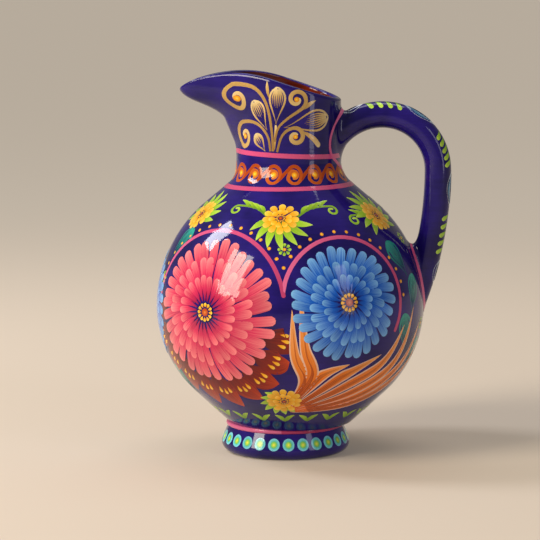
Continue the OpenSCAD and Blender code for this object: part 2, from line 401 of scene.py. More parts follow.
def new_material(name: str) -> tuple[Material, NodeTree, Node]:
    """Starts a node material.

    Args:
        name: Name of the real material.

    Returns:
        The material, its empty tree and its output node.
    """
    material = bpy.data.materials.new(name)
    material.use_nodes = True
    material.node_tree.nodes.clear()
    return material, material.node_tree, add(material.node_tree, "ShaderNodeOutputMaterial")


@dataclass(frozen=True)
class GroundPaint:
    """Ground coat brushed on fired clay under varnish.

    It shows soft clouds of two near tones, faint bristle marks that run round the pot, and a wet gloss whose
    reflections bend with the slow swell of the hand-built wall.
    """

    name: str
    deep: str
    lit: str
    cloud_mm: float = 34.0
    swell_mm: float = 46.0
    # Coarser than a real brush leaves its marks, so that they show in the render
    bristle_mm: float = 1.6
    bristle_pull: float = 0.12
    bristle_tone: float = 0.18
    bristle_relief: float = 0.06
    tone_span: Point = (0.36, 0.64)
    relief_mm: float = 1.2
    relief_strength: float = 0.35

    def material(self) -> Material:
        """Builds the node material.

        Returns:
            The finished material.
        """
        material, tree, out = new_material(self.name)
        place = add(tree, "ShaderNodeTexCoord").outputs["Object"]
        cloud, swell = (
            add(tree, "ShaderNodeTexNoise", {"Vector": place, "Scale": 1 / (size * MM), "Detail": detail})
            for size, detail in ((self.cloud_mm, 3.0), (self.swell_mm, 1.0))
        )
        round_pot = (self.bristle_pull, self.bristle_pull, 1.0)
        pulled = add(tree, "ShaderNodeMapping", {"Vector": place, "Scale": round_pot})
        bristle = add(
            tree,
            "ShaderNodeTexNoise",
            {"Vector": pulled.outputs["Vector"], "Scale": 1 / (self.bristle_mm * MM), "Detail": 2.0},
        )
        tone, height = (
            add(
                tree,
                "ShaderNodeMix",
                {"Factor": share, 2: broad.outputs["Fac"], 3: bristle.outputs["Fac"]},
                data_type="FLOAT",
            )
            for broad, share in ((cloud, self.bristle_tone), (swell, self.bristle_relief))
        )
        ramp = add(tree, "ShaderNodeValToRGB", {"Fac": tone.outputs[0]})
        for stop, at, colour in zip(ramp.color_ramp.elements, self.tone_span, (self.deep, self.lit)):
            stop.position = at
            stop.color = linear(colour)
        bump = add(
            tree,
            "ShaderNodeBump",
            {"Height": height.outputs[0], "Strength": self.relief_strength, "Distance": self.relief_mm * MM},
        )
        normal = bump.outputs["Normal"]
        shader = add(
            tree,
            "ShaderNodeBsdfPrincipled",
            {**VARNISH, "Base Color": ramp.outputs["Color"], "Normal": normal, "Coat Normal": normal},
        )
        tree.links.new(shader.outputs["BSDF"], out.inputs["Surface"])
        return material


def revolve(bm: BMesh, outline: Sequence[Point], axis_x: float, steps: int) -> None:
    """Spins a closed outline about an upright axis.

    Args:
        bm: Mesh to add to.
        outline: Points of radius and height, as a closed loop.
        axis_x: Place of the axis.
        steps: Number of steps of the full turn.
    """
    verts = [bm.verts.new((axis_x + r, 0.0, z)) for r, z in outline]
    edges = [bm.edges.new((a, b)) for a, b in zip(verts, verts[1:] + verts[:1])]
    bmesh.ops.spin(
        bm,
        geom=verts + edges,
        axis=(0, 0, 1),
        cent=(axis_x, 0, 0),
        angle=math.tau,
        steps=steps,
        use_merge=True,
    )
    bmesh.ops.remove_doubles(bm, verts=bm.verts, dist=WELD)
    bmesh.ops.recalc_face_normals(bm, faces=bm.faces)


def sheet(bm: BMesh, columns: int, rows: int, place: Place) -> list[BMVert]:
    """Adds a grid and lays each of its points where a function says.

    Args:
        bm: Mesh to add to.
        columns: Number of faces along the first share.
        rows: Number of faces along the second share.
        place: Gives a point for two shares from 0 to 1.

    Returns:
        The new vertices.
    """
    verts = bmesh.ops.create_grid(bm, x_segments=columns, y_segments=rows, size=0.5, calc_uvs=True)["verts"]
    for vert in verts:
        vert.co = place(vert.co.x + 0.5, vert.co.y + 0.5)
    return verts


def finish_piece(bm: BMesh, name: str, materials: Sequence[Material], sharp: float = 40.0) -> Object:
    """Turns a mesh in millimetres into a piece of the pot.

    Args:
        bm: Mesh in millimetres, freed here.
        name: Name of the piece.
        materials: Materials in the order that its faces use.
        sharp: Angle in degrees above which an edge shows as an edge.

    Returns:
        The object, riding on the pot's body.
    """
    bmesh.ops.scale(bm, vec=(MM, MM, MM), verts=bm.verts)
    for face in bm.faces:
        face.smooth = True
    for edge in bm.edges:
        if edge.is_boundary or edge.calc_face_angle(0.0) > math.radians(sharp):
            edge.smooth = False
    mesh = bpy.data.meshes.new(name)
    bm.to_mesh(mesh)
    bm.free()
    piece = bpy.data.objects.new(name, mesh)
    bpy.context.scene.collection.objects.link(piece)
    for material in materials:
        mesh.materials.append(material)
    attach(piece, BODY)
    return piece


@dataclass
class Belly:
    """Round body of the pot, one closed shell from the foot joint to the lower pink band."""

    form: Form
    steps: int = 176

    def build(self, ground: Material) -> Object:
        """Spins the wall and dresses it.

        Args:
            ground: Material of the painted ground.

        Returns:
            The body's skin.
        """
        outer = self.below_seam(self.form.outside())
        inner = self.below_seam(self.form.outside(self.form.wall))
        bm = bmesh.new()
        revolve(bm, outer + inner[::-1], self.form.axis_x, self.steps)
        piece = finish_piece(bm, "belly_skin", [ground])
        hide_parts("lower_body", "upper_body")
        return piece

    def below_seam(self, outline: list[Point]) -> list[Point]:
        """Cuts an outline off at the seam under the band.

        Args:
            outline: Points from the floor up.

        Returns:
            The points up to the seam, with the cut point as the last.
        """
        seam_z = self.form.seam_z
        kept = [p for p in outline if p[1] < seam_z]
        (r0, z0), (r1, z1) = kept[-1], outline[len(kept)]
        share = (seam_z - z0) / (z1 - z0)
        return kept + [(r0 + share * (r1 - r0), seam_z)]


@dataclass
class Mouth:
    """Neck, mouth and beak as one closed shell from the lower pink band to the rim.

    The ground paint goes over the lip as far as lip_paint, a share of its round.
    """

    form: Form
    turns: int = 256
    neck_rows: int = 10
    wall_rows: int = 48
    lip_rows: int = 8
    lip_paint: float = 0.8

    def section(self, u: float) -> list[Point]:
        """Outline of the wall at one angle, up the outside, over the lip and down the inside.

        Args:
            u: Angle off the spout in radians.

        Returns:
            Points of radius and height.
        """
        form = self.form
        top = form.mouth_top(u) - form.lip_round
        neck = ladder(form.seam_z, form.waist_z, self.neck_rows)
        rises = ladder(form.collar_top, top, self.wall_rows)
        outer = [(form.outer(u, z), z) for z in neck + rises]
        inner = [(form.neck_out(z, form.wall), z) for z in neck] + [(form.mouth_in(u, z), z) for z in rises]
        mid, half = (outer[-1][0] + inner[-1][0]) / 2, (outer[-1][0] - inner[-1][0]) / 2
        turns = ladder(0.0, math.pi, self.lip_rows)[1:-1]
        lip = [(mid + half * math.cos(a), top + form.lip_round * math.sin(a)) for a in turns]
        return outer + lip + inner[::-1]

    def build(self, ground: Material, inside: Material) -> Object:
        """Sweeps the section round the mouth and dresses it.

        Args:
            ground: Material of the painted ground.
            inside: Material of the glazed inside, its colours darkened with painted shade of the hollow.

        Returns:
            The skin of neck, mouth and beak.
        """
        angles = ladder(0.0, math.tau, self.turns)
        sections = [self.section(math.pi - abs(math.pi - turn)) for turn in angles]
        last = len(sections[0]) - 1
        lip_at = self.neck_rows + 2 + self.wall_rows
        paint_end = lip_at + self.lip_rows * self.lip_paint

        def place(around: float, along: float) -> Vector:
            """Point of the shell.

            Args:
                around: Share of the turn from the spout.
                along: Share of the way along the section.

            Returns:
                The point in millimetres.
            """
            turn = math.tau * around
            r, z = sections[round(around * self.turns)][round(along * last)]
            return Vector((self.form.axis_x - r * math.cos(turn), -r * math.sin(turn), z))

        bm = bmesh.new()
        bm.loops.layers.uv.new("brush")
        sheet(bm, self.turns, last, place)
        uv = bm.loops.layers.uv.active
        for face in bm.faces:
            along = sum(loop[uv].uv.y for loop in face.loops) / len(face.loops) * last
            face.material_index = int(along > paint_end)
        bmesh.ops.remove_doubles(bm, verts=bm.verts, dist=WELD)
        bmesh.ops.bridge_loops(bm, edges=[e for e in bm.edges if e.is_boundary])
        bmesh.ops.recalc_face_normals(bm, faces=bm.faces)
        piece = finish_piece(bm, "mouth_skin", [ground, inside])
        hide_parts("neck_collar", "mouth_wall", "spout")
        return piece


@dataclass
class Foot:
    """Foot ring with its round bottom edge, its top lapped into the body's underside."""

    form: Form
    steps: int = 144
    edge_rows: int = 18
    bevel: float = 1.5
    lap: float = 0.3
    cope: float = 6.0

    def wall(self) -> list[Point]:
        """Outside of the ring from the bottom up: a round edge and a straight, leaning wall.

        Returns:
            Points of radius and height.
        """
        form = self.form
        bead = (form.foot_r - form.bead_r, form.bead_r)
        top_z = form.floor_z + self.lap
        rise = (form.foot_top_r - bead[0], form.floor_z + self.cope - bead[1])
        lean = math.degrees(math.atan2(rise[1], rise[0]) - math.acos(form.bead_r / math.hypot(*rise)))
        edge = arc(bead, form.bead_r, -90, lean, self.edge_rows)
        wall_top = edge[-1][0] - (top_z - edge[-1][1]) * math.tan(math.radians(lean))
        return edge + [(wall_top, top_z)]

    def build(self, ground: Material) -> Object:
        """Spins the ring and dresses it.

        Args:
            ground: Material of the painted ground.

        Returns:
            The foot's skin.
        """
        wall, bore_r = self.wall(), self.form.foot_bore_r
        bore = [(bore_r, wall[-1][1]), (bore_r, self.bevel), (bore_r + self.bevel, 0.0)]
        bm = bmesh.new()
        revolve(bm, wall + bore, 0.0, self.steps)
        piece = finish_piece(bm, "foot_skin", [ground])
        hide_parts("foot_ring")
        return piece


class Curve(Enum):
    """Round stretches of the handle's centre line, from the neck to the body."""

    ROOT = "flat rise out of the neck"
    BEND = "tight round at the top"
    TAIL = "long easy fall to the body"


@dataclass
class Handle:
    """Loop handle with clay smoothed into the neck and the body at its two ends.

    Points are about the body's axis. An angle round the tube is in radians, 0 on the outer side.
    """

    form: Form
    around: int = 48
    tube_rows: int = 96
    fillet_rows: int = 10

    def __post_init__(self) -> None:
        """Works out the centres and radii of the three curves of the centre line."""
        form = self.form
        self.bend_x = form.handle_reach - form.bend_r
        self.bend_z = form.handle_top - form.bend_r
        self.root_r = (self.bend_x - form.neck_r) / math.sin(math.radians(form.handle_lean)) + form.handle_r
        self.root_z = form.handle_top - self.root_r
        self.tail_x = form.handle_reach - form.tail_r
        self.curves = {
            Curve.ROOT: (self.bend_x, self.root_z, self.root_r),
            Curve.BEND: (self.bend_x, self.bend_z, form.bend_r),
            Curve.TAIL: (self.tail_x, self.bend_z, form.tail_r),
        }

    def lane(self, a: float) -> Point:
        """Outward and sideways offset of the line along the tube at angle a."""
        return self.form.handle_r * math.cos(a), self.form.handle_r * math.sin(a)

    def root_end(self, a: float) -> tuple[float, Vector]:
        """Where the tube's line at one angle meets the neck.

        Args:
            a: Angle round the tube.

        Returns:
            Turn about the root curve's centre and the meeting point.
        """
        out, side = self.lane(a)
        r = self.root_r + out
        x = math.sqrt(self.form.neck_r**2 - side**2) - self.bend_x
        z = math.sqrt(max(0.0, r**2 - x**2))
        return math.atan2(z, x), Vector((self.bend_x + x, side, self.root_z + z))

    def tail_end(self, a: float) -> tuple[float, Vector]:
        """Where the tube's line at one angle meets the body, as two circles cross.

        Args:
            a: Angle round the tube.

        Returns:
            Turn about the tail curve's centre and the meeting point.
        """
        out, side = self.lane(a)
        r = self.form.tail_r + out
        body_squared = self.form.belly_r**2 - side**2
        gap = Vector((-self.tail_x, self.form.belly_z - self.bend_z))
        span = gap.length
        way = gap / span
        along = (r**2 - body_squared + span**2) / (2 * span)
        off = math.sqrt(r**2 - along**2)
        x, z = along * way.x - off * way.y, along * way.y + off * way.x
        return math.atan2(z, x), Vector((self.tail_x + x, side, self.bend_z + z))

    def tube(self, a: float, turn: float, curve: Curve) -> Vector:
        """Point of the tube on one of its three curves.

        Args:
            a: Angle round the tube.
            turn: Angle about the curve's centre.
            curve: The curve.

        Returns:
            The point.
        """
        x, z, r = self.curves[curve]
        out, side = self.lane(a)
        return Vector((x + (r + out) * math.cos(turn), side, z + (r + out) * math.sin(turn)))

    def line(self, a: float) -> list[Vector]:
        """Points along the handle at one angle, from its seat on the neck to its seat on the body.

        Args:
            a: Angle round the tube.

        Returns:
            The points.
        """
        form = self.form
        root_turn, root = self.root_end(a)
        tail_turn, tail = self.tail_end(a)
        out = self.lane(a)[0]
        root_back = root_turn - form.upper_fillet / (self.root_r + out)
        tail_back = tail_turn + self.low_spread(a) / (form.tail_r + out)
        runs = (
            (Curve.ROOT, root_back, math.pi / 2),
            (Curve.BEND, math.pi / 2, 0.0),
            (Curve.TAIL, 0.0, tail_back),
        )
        points = self.ease(self.up_seat(a, form.upper_fillet), root, self.tube(a, root_back, Curve.ROOT))
        for curve, start, end in runs:
            turns = ladder(start, end, self.tube_rows // len(runs))
            points += [self.tube(a, turn, curve) for turn in turns[1:]]
        return points[:-1] + self.ease(self.tube(a, tail_back, Curve.TAIL), tail, self.low_seat(a))

    def up_seat(self, a: float, away: float) -> Vector:
        """Point on the neck at some distance from the tube's upper root.

        Args:
            a: Angle round the tube.
            away: Distance along the wall.

        Returns:
            The point.
        """
        turn, root = self.root_end(a)
        seat = root + away * self.along_wall(a, turn, Vector((root.x, root.y, 0)))
        r = self.form.neck_r if seat.z >= self.form.waist_z else self.form.neck_out(seat.z)
        flat = Vector((seat.x, seat.y, 0)).normalized() * r
        return Vector((flat.x, flat.y, seat.z))

    def upper_clay(self, a: float, away: float) -> Vector:
        """Point on the clay round the upper root, or on the neck beyond that clay.

        Args:
            a: Angle round the tube.
            away: Distance along the wall from the tube.

        Returns:
            The point.
        """
        if away >= self.form.upper_fillet:
            return self.up_seat(a, away)
        row = (1 - math.sqrt(away / self.form.upper_fillet)) * self.fillet_rows
        rows, k = self.line(a), int(row)
        return rows[k].lerp(rows[k + 1], row - k)

    def low_spread(self, a: float) -> float:
        """How far the clay at the lower end spreads from the tube, most in the crotch under the handle."""
        crotch = (0.5 - 0.5 * math.cos(a)) ** 4
        return self.form.lower_fillet + (self.form.crotch - self.form.lower_fillet) * crotch

    def low_seat(self, a: float) -> Vector:
        """Point on the body where the clay round the handle's lower end runs out.

        Args:
            a: Angle round the tube.

        Returns:
            The point.
        """
        turn, tail = self.tail_end(a)
        centre = Vector((0, 0, self.form.belly_z))
        seat = tail + self.low_spread(a) * self.along_wall(a, turn, tail - centre)
        return centre + (seat - centre).normalized() * self.form.belly_r

    def ease(self, start: Vector, corner: Vector, end: Vector) -> list[Vector]:
        """Rounded stretch of clay through a corner, both ends included."""
        shares = ladder(0.0, 1.0, self.fillet_rows)
        return [(1 - t) ** 2 * start + 2 * t * (1 - t) * corner + t**2 * end for t in shares]

    @staticmethod
    def outward(a: float, turn: float) -> Vector:
        """Direction out of the tube at one angle round it and one turn along it."""
        return Vector((math.cos(a) * math.cos(turn), math.sin(a), math.cos(a) * math.sin(turn)))

    @staticmethod
    def along_wall(a: float, turn: float, out: Vector) -> Vector:
        """Direction in the wall that leads away from the tube.

        Args:
            a: Angle round the tube.
            turn: Turn of the tube at the wall.
            out: Vector out of the wall.

        Returns:
            A unit vector.
        """
        side = Handle.outward(a, turn)
        normal = out.normalized()
        return (side - side.dot(normal) * normal).normalized()

    def build(self, ground: Material) -> Object:
        """Sweeps the tube and dresses it.

        Args:
            ground: Material of the painted ground.

        Returns:
            The handle's skin.
        """
        lines = [self.line(math.tau * k / self.around) for k in range(self.around)]
        last = len(lines[0]) - 1

        def place(along: float, around: float) -> Vector:
            """Point of the skin at shares along the handle and round it."""
            point = lines[round(around * self.around) % self.around][round(along * last)]
            return point + self.form.axis

        bm = bmesh.new()
        bm.loops.layers.uv.new("brush")
        sheet(bm, last, self.around, place)
        bmesh.ops.remove_doubles(bm, verts=bm.verts, dist=WELD)
        bmesh.ops.holes_fill(bm, edges=[e for e in bm.edges if e.is_boundary])
        bmesh.ops.recalc_face_normals(bm, faces=bm.faces)
        piece = finish_piece(bm, "handle_skin", [ground], sharp=60.0)
        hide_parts("handle", "upper_luting_fillet", "lower_luting_fillet")
        return piece


class Taper(Enum):
    """How the width of a brush stroke runs from its start to its end."""

    PETAL = "narrow start and broad round end"
    BLADE = "round start, broad middle and long thin point"
    LEAF = "pointed at both ends"
    LINE = "even width with round ends"
    TAIL = "round start thinning to a hair"
    SCROLL = "thin start swelling to an even width with a round end"
    RING = "even width, closed on itself"

    def width(self, t: float, blunt: float) -> float:
        """Share of the full width at one place along the stroke.

        Args:
            t: Share of the way along the stroke.
            blunt: Width over length, which sets how long the round ends are.

        Returns:
            A share from 0 to 1.
        """
        cap = min(0.45, 0.5 * blunt)
        start, end = (math.sqrt(max(0.0, 1 - (1 - min(1.0, far / cap)) ** 2)) for far in (t, 1 - t))
        if self is Taper.PETAL:
            return (0.22 + 0.78 * smooth(t / 0.7)) * end * min(1.0, start + 0.3)
        if self is Taper.BLADE:
            return (0.35 + 0.65 * smooth(t / 0.4)) * min(1.0, 2.1 * (1 - t)) ** 0.8 * start
        if self is Taper.LEAF:
            return math.sin(math.pi * t**0.85) ** 0.85 if 0 < t < 1 else 0.0
        if self is Taper.TAIL:
            return (1 - t) ** 0.75 * start
        if self is Taper.SCROLL:
            return (0.5 + 0.5 * smooth(t / 0.35)) * (1 - 0.3 * smooth((t - 0.6) / 0.4)) * end
        if self is Taper.RING:
            return 1.0
        return start * end


@dataclass(frozen=True)
class BrushPaint:
    """Acrylic paint pulled by a round brush, under varnish.

    It shows streaks of the bristles, a fade from the root of each stroke to its tip, small differences in
    tone between strokes, and for some paints a ragged pale edge.
    """

    name: str
    root: str
    middle: str
    tip: str
    edge: str | None = None
    metal: float = 0.0
    # A petal's width and a streak's width in it; other strokes have as many streaks, broader or finer
    stroke_mm: float = 7.5
    bristle_mm: float = 0.5
    bristle_waves: float = 1.6
    bristle_tone: float = 0.55
    fade: Point3 = (0.08, 0.52, 0.96)
    # How far the streaks move on from stroke to stroke
    stroke_jump: Point3 = (41.0, 67.0, 23.0)
    stroke_tones: Point = (0.88, 1.1)
    edge_ragged: float = 0.12
    edge_span: Point = (0.40, 0.48)
    edge_cover: float = 0.85
    ridge_mm: float = 0.4
    ridge_strength: float = 0.25

    def material(self) -> Material:
        """Builds the node material.

        Returns:
            The finished material.
        """
        material, tree, out = new_material(self.name)
        brush = add(tree, "ShaderNodeUVMap", uv_map="brush").outputs["UV"]
        tone = add(tree, "ShaderNodeAttribute", attribute_name="tone").outputs["Fac"]
        parts = add(tree, "ShaderNodeSeparateXYZ", {"Vector": brush})
        tones = add(tree, "ShaderNodeCombineXYZ", {"X": tone, "Y": tone, "Z": tone}).outputs["Vector"]
        jump = add(tree, "ShaderNodeVectorMath", {0: tones, 1: self.stroke_jump}, operation="MULTIPLY")
        streaks = (self.bristle_waves, self.stroke_mm / self.bristle_mm, 1.0)
        pulled = add(
            tree,
            "ShaderNodeMapping",
            {"Vector": brush, "Location": jump.outputs["Vector"], "Scale": streaks},
        ).outputs["Vector"]
        noise = add(tree, "ShaderNodeTexNoise", {"Vector": pulled, "Scale": 1.0, "Detail": 3.0})
        bristle = noise.outputs["Fac"]
        streaked = add(
            tree,
            "ShaderNodeMath",
            {0: bristle, 1: self.bristle_tone, 2: parts.outputs["X"]},
            operation="MULTIPLY_ADD",
        ).outputs[0]
        along = add(tree, "ShaderNodeMath", {0: streaked, 1: self.bristle_tone / 2}, operation="SUBTRACT")
        ramp = add(tree, "ShaderNodeValToRGB", {"Fac": along.outputs[0]})
        first, last = ramp.color_ramp.elements
        first.position, first.color = self.fade[0], linear(self.root)
        last.position, last.color = self.fade[2], linear(self.tip)
        ramp.color_ramp.elements.new(self.fade[1]).color = linear(self.middle)
        colour = ramp.outputs["Color"]
        if self.edge:
            side = add(tree, "ShaderNodeMath", {0: parts.outputs["Y"], 1: 0.5}, operation="SUBTRACT")
            far = add(tree, "ShaderNodeMath", {0: side.outputs[0]}, operation="ABSOLUTE").outputs[0]
            ragged = add(
                tree,
                "ShaderNodeMath",
                {0: bristle, 1: self.edge_ragged, 2: far},
                operation="MULTIPLY_ADD",
            ).outputs[0]
            start, end = self.edge_span
            rim = add(
                tree,
                "ShaderNodeMapRange",
                {"Value": ragged, "From Min": start, "From Max": end, "To Max": self.edge_cover},
            ).outputs["Result"]
            colour = add(
                tree,
                "ShaderNodeMix",
                {"Factor": rim, 6: colour, 7: linear(self.edge)},
                data_type="RGBA",
            ).outputs[2]
        dark, light = self.stroke_tones
        level = add(tree, "ShaderNodeMapRange", {"Value": tone, "To Min": dark, "To Max": light})
        toned = add(tree, "ShaderNodeHueSaturation", {"Value": level.outputs["Result"], "Color": colour})
        bump = add(
            tree,
            "ShaderNodeBump",
            {"Height": bristle, "Strength": self.ridge_strength, "Distance": self.ridge_mm * MM},
        )
        shader = add(
            tree,
            "ShaderNodeBsdfPrincipled",
            {
                **VARNISH,
                "Base Color": toned.outputs["Color"],
                "Metallic": self.metal,
                "Normal": bump.outputs["Normal"],
            },
        )
        tree.links.new(shader.outputs["BSDF"], out.inputs["Surface"])
        return material


class Paint(Enum):
    """Paints of the ornament, each with the colours of a stroke's root, middle and tip."""

    # Petals that lighten from wine to rose, so that each shows on the next
    CORAL = BrushPaint("coral_brush_paint", "#7c0f46", "#c92a54", "#f08688")
    # Petals that lighten from ultramarine to a chalky sky blue
    BLUE = BrushPaint("sky_blue_brush_paint", "#0a2a8e", "#1560cc", "#86c4f6")
    # Warm blades with a dry, pale edge where the brush was loaded with white
    ORANGE = BrushPaint("orange_brush_paint", "#e2621a", "#f58726", "#f8b46c", edge="#f3d3bd")
    # Earthy leaves that glow brick red at their tips
    RED = BrushPaint("oxide_red_brush_paint", "#3c0e1e", "#86200f", "#c9441c")
    # Cool leaves that are nearly as dark as the ground at the root
    TEAL = BrushPaint("teal_brush_paint", "#0b5560", "#13807a", "#2aa795")
    # Fresh leaves, the brightest green on the pot
    LIME = BrushPaint("lime_brush_paint", "#668f1e", "#98c42e", "#c6e35e")
    # Egg-yolk dots, dabs and small blooms
    YELLOW = BrushPaint("yellow_brush_paint", "#e88f10", "#f5b120", "#fbd75c")
    # Near-even lines along the pot's joints and over its flowers
    PINK = BrushPaint("pink_brush_paint", "#bd4070", "#cb507e", "#dc6e9a")
    # Gold paint that looks tan, with a faint metal sheen
    GOLD = BrushPaint("gold_brush_paint", "#94703a", "#c8a35e", "#e6cf98", metal=0.15)
    # Burnt orange of the running spirals, of fine lines and of the flowers' middles
    SPIRAL = BrushPaint("burnt_orange_brush_paint", "#aa3e0e", "#c25818", "#da8038")
    # Sea-green rings of the foot's dots
    AQUA = BrushPaint("aqua_brush_paint", "#7accdc", "#46bfb2", "#2fb09c")
    # Chalky grey of the handle's palest leaves, and of the edges of the others
    PALE = BrushPaint("pale_grey_brush_paint", "#8ea6c0", "#c9d6e0", "#eef2f2")
    # Bright middles of the foot's dots
    LEMON = BrushPaint("lemon_brush_paint", "#6cc062", "#aad654", "#f2e04e")
    # Dusty blue leaves of the handle
    SLATE = BrushPaint("slate_blue_brush_paint", "#2a6088", "#4a8fb2", "#a4cbdc")
    # Ink-blue hearts and veins, close to the ground's own blue
    DARK = BrushPaint("ink_blue_brush_paint", "#140b40", "#1a1052", "#22166a")


def through(points: Sequence[Point]) -> Callable[[float], Vector]:
    """Smooth line through a few points.

    Args:
        points: Points on a chart in millimetres.

    Returns:
        A function that gives the point at a share of the way.
    """
    knots = [Vector(p) for p in points]
    ends = [2 * knots[0] - knots[1], *knots, 2 * knots[-1] - knots[-2]]

    def at(t: float) -> Vector:
        """Point of the line.

        Args:
            t: Share of the way, counted in knots.

        Returns:
            The point on the chart.
        """
        run = min(max(t, 0.0), 1.0) * (len(knots) - 1)
        k = min(int(run), len(knots) - 2)
        s = run - k
        a, b, c, d = ends[k : k + 4]
        bend = (2 * a - 5 * b + 4 * c - d) * s**2
        return 0.5 * (2 * b + (c - a) * s + bend + (3 * b - a - 3 * c + d) * s**3)

    return at


def curl(
    centre: Point, radii: Point, start: float, sweep: float, squash: float = 1.0, count: int = 16
) -> list[Point]:
    """Points of a spiral.

    Args:
        centre: Centre of the spiral.
        radii: First and last radius.
        start: First angle in degrees.
        sweep: Turn in degrees, positive against the clock.
        squash: Width of the spiral over its height.
        count: Number of points.

    Returns:
        The points from the first radius to the last.
    """
    points = []
    for t in ladder(0.0, 1.0, count - 1):
        a = math.radians(start + sweep * t)
        r = radii[0] + (radii[1] - radii[0]) * t
        points.append((centre[0] + squash * r * math.cos(a), centre[1] + r * math.sin(a)))
    return points


def polar(angle: float, distance: float) -> Vector:
    """Point at an angle in degrees and a distance from a chart's middle."""
    return Vector((math.cos(math.radians(angle)), math.sin(math.radians(angle)))) * distance


def flipped(points: Sequence[Point], side: float) -> list[Point]:
    """Mirrors points left to right where side is -1."""
    return [(side * x, y) for x, y in points]


class Chart(ABC):
    """Flat drawing laid on a part of the pot, in millimetres."""

    @abstractmethod
    def place(self, spot: Vector, lift: float) -> Vector:
        """Point on the pot.

        Args:
            spot: Place on the drawing.
            lift: Height over the ground.

        Returns:
            The point in millimetres.
        """


@dataclass(frozen=True)
class BellyChart(Chart):
    """Drawing laid on the round body about a point: x runs towards the handle at the front, y runs up."""

    form: Form
    phi: float
    rise: float
    outline: tuple[Point, ...]
    turns: tuple[float, ...]

    @classmethod
    def about(cls, form: Form, phi: float, rise: float) -> "BellyChart":
        """Makes a chart about one point.

        Args:
            form: The pot's sizes.
            phi: Angle from the front towards the handle in degrees.
            rise: Angle above the widest part in degrees, seen from the belly's centre.

        Returns:
            The chart.
        """
        outline = tuple((r, z - form.belly_z) for r, z in form.outside()[1:])
        return cls(form, phi, rise, outline, tuple(math.atan2(z, r) for r, z in outline))

    def axes(self) -> tuple[Vector, Vector, Vector]:
        """Directions at the chart's middle.

        Returns:
            Out of the belly's centre, to the right and up.
        """
        phi, rise = math.radians(self.phi), math.radians(self.rise)
        out = Vector((math.sin(phi), -math.cos(phi), 0))
        up = Vector((0, 0, 1))
        right = Vector((math.cos(phi), math.sin(phi), 0))
        return out * math.cos(rise) + up * math.sin(rise), right, up * math.cos(rise) - out * math.sin(rise)

    def place(self, spot: Vector, lift: float) -> Vector:
        """Point on the body, on the straight line from the belly's centre.

        Args:
            spot: Place on the drawing.
            lift: Height over the ground.

        Returns:
            The point in millimetres.
        """
        middle, right, up = self.axes()
        far = spot.length
        turn = far / self.form.belly_r
        side = (right * spot.x + up * spot.y) / far if far > WELD else right
        way = middle * math.cos(turn) + side * math.sin(turn)
        angle = math.asin(max(-1.0, min(1.0, way.z)))
        k = min(max(bisect_left(self.turns, angle), 1), len(self.turns) - 1)
        (r0, z0), (r1, z1) = self.outline[k - 1], self.outline[k]
        dist = (r0 * z1 - z0 * r1) / (math.cos(angle) * (z1 - z0) - math.sin(angle) * (r1 - r0))
        return Vector((self.form.axis_x, 0, self.form.belly_z)) + way * (dist + lift)


@dataclass(frozen=True)
class WallChart(Chart):
    """Drawing laid on the neck and mouth: x runs round at the neck's radius, y runs up."""

    form: Form
    phi: float
    z: float

    def place(self, spot: Vector, lift: float) -> Vector:
        """Point on the wall.

        Args:
            spot: Place on the drawing.
            lift: Height over the ground.

        Returns:
            The point in millimetres.
        """
        form = self.form
        phi = math.radians(self.phi) + spot.x / form.neck_r
        z = self.z + spot.y
        off = (phi + math.pi / 2) % math.tau
        r = form.outer(min(off, math.tau - off), z) + lift
        return Vector((form.axis_x + r * math.sin(phi), -r * math.cos(phi), z))


@dataclass(frozen=True)
class FootChart(Chart):
    """Drawing laid on the foot ring: x runs round at its largest radius, y is the height."""

    form: Form
    outline: tuple[Point, ...]

    def place(self, spot: Vector, lift: float) -> Vector:
        """Point on the ring.

        Args:
            spot: Place on the drawing.
            lift: Height over the ground.

        Returns:
            The point in millimetres.
        """
        k = min(max(bisect_left([z for _, z in self.outline], spot.y), 1), len(self.outline) - 1)
        (r0, z0), (r1, z1) = self.outline[k - 1], self.outline[k]
        r = r0 + (r1 - r0) * (spot.y - z0) / (z1 - z0) + lift
        phi = spot.x / self.form.foot_r
        return Vector((r * math.sin(phi), -r * math.cos(phi), spot.y))


@dataclass(frozen=True)
class HandleChart(Chart):
    """Drawing laid on the handle: x runs along it from the neck, y runs round it from its outer line."""

    handle: Handle

    def place(self, spot: Vector, lift: float) -> Vector:
        """Point on the handle.

        Args:
            spot: Place on the drawing.
            lift: Height over the ground.

        Returns:
            The point in millimetres.
        """
        handle, form = self.handle, self.handle.form
        a = spot.y / form.handle_r
        root_span = handle.root_end(math.pi / 2)[0] - math.pi / 2
        first, second = handle.root_r * root_span, form.bend_r * math.pi / 2
        if spot.x < first:
            turn, curve = math.pi / 2 + (first - spot.x) / handle.root_r, Curve.ROOT
        elif spot.x < first + second:
            turn, curve = math.pi / 2 - (spot.x - first) / form.bend_r, Curve.BEND
        else:
            turn, curve = -(spot.x - first - second) / form.tail_r, Curve.TAIL
        return handle.tube(a, turn, curve) + handle.outward(a, turn) * lift + form.axis


